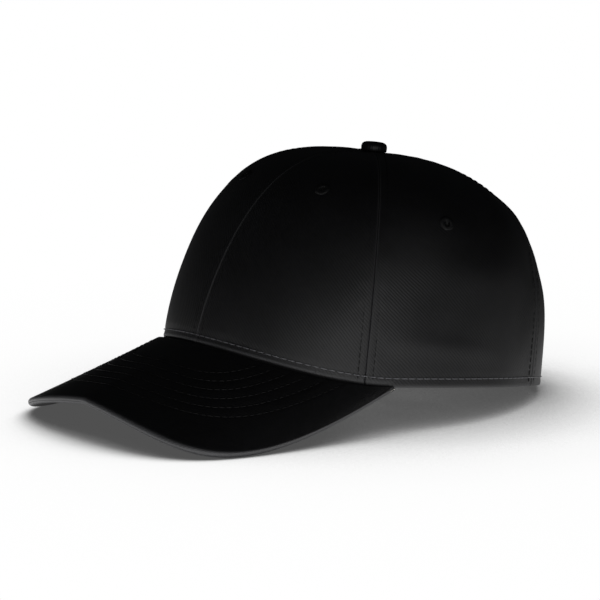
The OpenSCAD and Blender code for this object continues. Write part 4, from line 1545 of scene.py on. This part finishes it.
    def sew(self) -> None:
        """Sews the rows that run parallel to the brim's edge, through both covers."""
        s = np.linspace(-0.985, 0.985, 500)
        v = np.linspace(0.985, 0.035, 160)
        grid = FORM.brim_at(s[None], v[:, None], FORM.brim_half_t)
        away = self.from_edge(grid)
        for side, name in ((1, "brim_top_stitching"), (-1, "brim_under_stitching")):
            parts = MeshParts()
            for row in self.rows_from_edge:
                meets = np.array([np.interp(row, away[:, j], v) for j in range(len(s))])
                runs = away[-1] > row + 0.4
                line = FORM.brim_at(s[runs], meets[runs], side * (FORM.brim_half_t - self.sink))
                w = meets[runs][:, None]
                up = unit((1 - w) * FORM.brim_up(s[runs], False) + w * FORM.brim_up(s[runs], True))
                self.stitch.sew(parts, line, side * up)
            piece = parts.build(name)
            dress(piece, self.finishes.thread)

    def build(self) -> None:
        """Builds and dresses the brim."""
        self.top_cover()
        self.under_cover()
        self.sew()
        coat("brim_board", self.finishes.board)


# ---- Rear opening and its strap ----


@dataclass
class RearClosure:
    """The bound arch, the strap that slides through its buckle, and the buckle's loop."""

    finishes: Finishes
    sewing: Stitching = Stitching(pitch=2.8, thread_d=0.38)
    strap_row: float = 2.4
    arch_row: float = 1.6
    ply_share: float = 0.46

    def arch_at(self, v: Points, w: Points, depth: Points) -> Points:
        """Gives points of the arch: share v along it, w into the cloth, at some depth."""
        length = math.pi * FORM.arch_r + 2 * FORM.arch_z
        v, w, depth = matched(v, w, depth)
        d, r = v * length, FORM.arch_r + w
        turn = (d - FORM.arch_z) / FORM.arch_r
        left, right = d < FORM.arch_z, d > length - FORM.arch_z
        x = np.where(left, r, np.where(right, -r, r * np.cos(turn)))
        z = np.where(left, np.maximum(0.5, d), np.where(
            right, np.maximum(0.5, length - d), FORM.arch_z + r * np.sin(turn)))
        return FORM.rear_at(x, z, depth)

    def binding(self) -> None:
        """Builds the folded binding of the arch and its row of stitches."""
        t, g, w = FORM.binding_t, FORM.ply_gap / 2, FORM.binding_w
        deep, cloth = FORM.tape_in, FORM.cloth_t
        outside = np.array([[w, -g - 0.05], [w - 0.3, -t - g], [w / 2, -t - g - 0.02], [1, -t - g],
                            [0, -t - g], [-t * 0.8, -t * 0.6 - g], [-t - g, -g + 0.1],
                            [-t - g, cloth + g - 0.1], [-t * 0.8, deep + t * 0.5], [0.2, deep + t],
                            [w / 2, deep + t], [w - 0.3, deep + t], [w, deep + 0.05]])
        inside = np.array([[w, -g], [w - 0.3, -g], [w / 2, -g], [1, -g], [g, -g], [0, -g + 0.02],
                           [-g, 0], [-g, cloth], [0, deep - 0.02], [g, deep], [w / 2, deep],
                           [w - 0.3, deep], [w, deep]])
        v = np.linspace(0, 1, 110)[:, None]
        outer = FORM.stand(self.arch_at(v, outside[:, 0], outside[:, 1]))
        inner = FORM.stand(self.arch_at(v, inside[:, 0], inside[:, 1]))
        parts = MeshParts()
        weave = np.stack([lengths(outer, 1) / MM, lengths(outer, 0) / MM], -1)
        shell(parts, outer, inner, weave)
        piece = parts.build("arch_binding_twill", 70)
        dress(piece, self.finishes.strap_twill, nodes=("arch_binding",))
        drape(piece, outer)
        rows = MeshParts()
        run = np.linspace(0.01, 0.99, 200)
        inward = FORM.binding_w - self.arch_row
        line = self.arch_at(run, inward, -FORM.binding_t - FORM.ply_gap / 2)
        below = self.arch_at(run, inward, 1.0)
        self.sewing.sew(rows, line, unit(line - below))
        dress(rows.build("arch_stitching"), self.finishes.thread)

    def strap(self) -> None:
        """Builds the strap: folded twill with a row of stitches along each edge."""
        _, ro = FORM.arc
        ri = ro - FORM.strap_t
        angle = np.linspace(-FORM.strap_half, FORM.strap_half, 150)[None]
        z = np.concatenate([[0, 0.25, 0.6], np.linspace(1.2, FORM.strap_w - 1.2, 15),
                            [FORM.strap_w - 0.6, FORM.strap_w - 0.25, FORM.strap_w]])[:, None]
        edge = np.minimum(z, FORM.strap_w - z)
        sunk = 0.32 * bell(edge, 0, 0.35) + 0.1 * bell(edge, self.strap_row, 0.5)
        high = FORM.on_arc(angle, ro - sunk, FORM.strap_z + z)
        low = FORM.on_arc(angle, ri + sunk, FORM.strap_z + z)
        outer, inner = FORM.stand(high), FORM.stand(low)
        # Seen from outside the cap the angle runs to the left
        outer, inner = outer[:, ::-1], inner[:, ::-1]
        parts = MeshParts()
        weave = np.stack([lengths(outer, 1) / MM, np.broadcast_to(z, outer.shape[:2])], -1)
        shell(parts, outer, inner, weave)
        piece = parts.build("strap_twill")
        dress(piece, self.finishes.strap_twill, Body.STRAP, ("strap",))
        drape(piece, outer)
        rows = MeshParts()
        turn = np.linspace(-FORM.strap_half + 1, FORM.strap_half - 1, 160)
        for height in (self.strap_row, FORM.strap_w - self.strap_row):
            for way, r in ((1, ro - 0.12), (-1, ri + 0.12)):
                line = FORM.on_arc(turn, r, FORM.strap_z + height)
                out = unit(line - FORM.on_arc(turn, 0.0, FORM.strap_z + height))
                self.sewing.sew(rows, line, way * out)
        stitched = rows.build("strap_stitching")
        dress(stitched, self.finishes.thread, Body.STRAP)

    def loop(self) -> None:
        """Builds the folded loop of cloth that holds the buckle's bar."""
        _, ro = FORM.arc
        t = FORM.loop_t
        eye = FORM.bar_d / 2 + FORM.ply_gap + t / 2
        bar_r = ro + FORM.slide_gap + eye + t / 2
        bar_at = FORM.buckle_to - math.degrees(math.atan((eye + t / 2) / bar_r))
        bar = FORM.on_arc(bar_at, bar_r, 0.0)
        out = unit(bar - FORM.on_arc(bar_at, 0.0, 0.0))
        far = np.array([out[1], -out[0], 0.0])  # towards larger angles
        low = FORM.on_arc(np.linspace(FORM.loop_end, bar_at + 1.2, 30), bar_r - eye, 0.0)
        turn = np.radians(np.linspace(270, -28, 40))
        ring = bar + eye * (np.cos(turn)[:, None] * far + np.sin(turn)[:, None] * out)
        # The second ply lies on the first one and runs back from the eye
        back = FORM.on_arc(np.linspace(bar_at + 2.6, FORM.loop_end, 30), bar_r - eye + t, 0.0)
        path = np.concatenate([low, ring, back])
        path = path[np.concatenate([[True], np.linalg.norm(np.diff(path, axis=0), axis=1) > 1e-4])]
        step = unit(np.gradient(path, axis=0))
        side = np.stack([step[:, 1], -step[:, 0], 0 * step[:, 0]], -1)
        z0 = FORM.strap_z + FORM.slide_gap
        width = FORM.strap_w - 2 * FORM.slide_gap
        z = z0 + width * np.linspace(0, 1, 16)
        tall = np.array([0, 0, 1.0])
        half, rise = side[None] * t * self.ply_share, tall * z[:, None, None]
        outer, inner = FORM.stand(path[None] + half + rise), FORM.stand(path[None] - half + rise)
        parts = MeshParts()
        weave = np.stack([lengths(outer, 1) / MM, np.broadcast_to(z[:, None], outer.shape[:2])], -1)
        shell(parts, outer, inner, weave)
        piece = parts.build("buckle_loop_twill", 70)
        dress(piece, self.finishes.strap_twill, nodes=("buckle_loop",))
        drape(piece, outer)

    def metal(self) -> None:
        """Gives the buckle's CAD nodes and the button's inner parts their metals."""
        for name in ("buckle_frame", "buckle_pin", "buckle_lever"):
            coat(name, self.finishes.brass)
        for name in ("button_shell", "button_back"):
            coat(name, self.finishes.steel)

    def build(self) -> None:
        """Builds and dresses the closure."""
        self.binding()
        self.strap()
        self.loop()
        self.metal()


# ---- Studio ----


@dataclass
class Studio:
    """Floor, one soft lamp and the camera at the photograph's viewing angle."""

    azimuth: float = 51.714
    elevation: float = 10.187
    lens_px: float = 3182.0
    distance: float = 1600.0
    shift_right: float = 25.95
    shift_up: float = 10.92
    aim: tuple[float, float, float] = (0.0, 31.02, 60.0)
    picture_px: int = 600
    sensor_mm: float = 36.0
    shadow_azimuth: float = 180.0
    shadow_tilt: float = 85.0
    shadow_reach: float = 0.3
    shadow_from: float = 0.42
    shadow_to: float = 0.9
    shadow_low: float = 0.32
    contact_reach: float = 0.12
    contact_from: float = 0.4
    contact_to: float = 0.9
    contact_low: float = 0.25
    table_glow: float = 1.5
    pool: tuple[float, float, float] = (-0.02, -0.16, 0.0)
    pool_squeeze: tuple[float, float, float] = (1.35, 1.0, 1.0)
    pool_from: float = 0.15
    pool_to: float = 0.5
    pool_low: float = 0.06
    floor_half: float = 6.0
    ambient: float = 0.02
    lamp_turn: float = 6.0
    lamp_elevation: float = 3.0
    lamp_reach: float = 2.2
    lamp_size: tuple[float, float] = (1.8, 0.2)
    lamp_power: float = 8.0
    lamp_aim: tuple[float, float, float] = (0.0, 0.0, 0.06)

    def camera(self) -> None:
        """Makes the camera."""
        a, e = math.radians(self.azimuth), math.radians(self.elevation)
        right = Vector((math.cos(a), math.sin(a), 0))
        back = Vector((math.sin(a) * math.cos(e), -math.cos(a) * math.cos(e), math.sin(e)))
        up = back.cross(right)
        place = Vector(self.aim) + back * self.distance
        place -= right * self.shift_right + up * self.shift_up
        data = bpy.data.cameras.new("camera")
        data.sensor_width = self.sensor_mm
        data.lens = self.lens_px / self.picture_px * self.sensor_mm
        data.clip_start, data.clip_end = 0.05, 50
        camera = bpy.data.objects.new("camera", data)
        turn = Matrix((right, up, back)).transposed()
        camera.matrix_world = Matrix.Translation(place * MM) @ turn.to_4x4()
        bpy.context.scene.collection.objects.link(camera)
        bpy.context.scene.camera = camera

    def floor(self) -> None:
        """Makes the glowing floor: white to the camera but for the cap's painted shadow, and a
        painted pool of light that lights the cap.
        """
        parts = MeshParts()
        size = self.floor_half
        square = np.array([[-size, -size, 0], [size, -size, 0], [size, size, 0], [-size, size, 0]])
        parts.add(square, [np.array([[0, 1, 2, 3]])])
        floor = parts.build("floor")
        material, tree = new_material("floor_white_glow_painted_shadow")
        # Painted shadow on the glowing white floor: ambient occlusion about a direction behind the
        # cap greys it where the cap hides that direction, so that the shadow falls forward, and
        # darker still close to the cap
        a, t = math.radians(self.shadow_azimuth), math.radians(self.shadow_tilt)
        shadow_way = (math.sin(a) * math.sin(t), -math.cos(a) * math.sin(t), math.cos(t))
        forward_ao = add(tree, "AmbientOcclusion", {"Distance": self.shadow_reach, "Normal": shadow_way},
                  samples=8)
        far = add(tree, "MapRange", {"Value": forward_ao.outputs["AO"], "From Min": self.shadow_from,
                                     "From Max": self.shadow_to, "To Min": self.shadow_low})
        close = add(tree, "AmbientOcclusion", {"Distance": self.contact_reach}, samples=8)
        near = add(tree, "MapRange", {"Value": close.outputs["AO"], "From Min": self.contact_from,
                                      "From Max": self.contact_to, "To Min": self.contact_low})
        painted_shadow = add(tree, "Math", {0: far.outputs[0], 1: near.outputs[0]},
                       operation="MULTIPLY")
        # Painted pool of light: to all but camera rays the floor glows, brightest in front of the
        # cap and dark further off, and so lights the cap
        at = add(tree, "NewGeometry").outputs["Position"]
        at = add(tree, "VectorMath", {0: at, 1: self.pool_squeeze}, operation="MULTIPLY")
        away = add(tree, "VectorMath", {0: at.outputs[0], 1: self.pool}, operation="DISTANCE")
        pool = add(tree, "MapRange", {"Value": away.outputs["Value"], "From Min": self.pool_from,
                                      "From Max": self.pool_to, "To Min": self.table_glow,
                                      "To Max": self.pool_low}, interpolation_type="SMOOTHSTEP")
        path = add(tree, "LightPath")
        white = add(tree, "MapRange", {"Value": path.outputs["Is Camera Ray"],
                                       "To Min": pool.outputs[0], "To Max": 1.0})
        strength = add(tree, "Math", {0: painted_shadow.outputs[0], 1: white.outputs[0]},
                       operation="MULTIPLY")
        glow = add(tree, "Emission", {"Color": (1, 1, 1, 1), "Strength": strength.outputs[0]})
        add(tree, "OutputMaterial", {"Surface": glow.outputs[0]})
        floor.data.materials.append(material)

    def world(self) -> None:
        """Makes the surroundings: white to the camera, nearly dark to the cap."""
        world = bpy.data.worlds.new("studio")
        bpy.context.scene.world = world
        world.use_nodes = True
        tree = world.node_tree
        tree.nodes.clear()
        path = add(tree, "LightPath")
        seen = add(tree, "Background", {"Color": (1, 1, 1, 1), "Strength": 1.0})
        dim = add(tree, "Background", {"Color": linear("#c8ccd2"),
                                       "Strength": self.ambient})
        mix = add(tree, "MixShader", {0: path.outputs["Is Camera Ray"], 1: dim.outputs[0],
                                      2: seen.outputs[0]})
        add(tree, "OutputWorld", {"Surface": mix.outputs[0]})

    def lamp(self) -> None:
        """Hangs the low soft lamp that faces the cap from beside the camera."""
        a, e = math.radians(self.azimuth + self.lamp_turn), math.radians(self.lamp_elevation)
        back = Vector((math.sin(a) * math.cos(e), -math.cos(a) * math.cos(e), math.sin(e)))
        data = bpy.data.lights.new("key", "AREA")
        data.shape, data.energy = "RECTANGLE", self.lamp_power
        data.size, data.size_y = self.lamp_size
        lamp = bpy.data.objects.new("key", data)
        lamp.location = Vector(self.lamp_aim) + back * self.lamp_reach
        lamp.rotation_mode = "QUATERNION"
        lamp.rotation_quaternion = (-back).to_track_quat("-Z", "Y")
        bpy.context.scene.collection.objects.link(lamp)

    def build(self) -> None:
        """Builds the studio."""
        self.camera()
        self.floor()
        self.world()
        self.lamp()
        bpy.context.scene.view_settings.view_transform = "Standard"


def main() -> None:
    """Builds the cap, piece by piece, and its studio."""
    logging.basicConfig(level=logging.INFO, format="%(name)s: %(message)s")
    finishes = Finishes()
    Studio().build()
    Crown(finishes).build()
    Lining(finishes).build()
    Brim(finishes).build()
    RearClosure(finishes).build()


if __name__ == "__main__":
    main()
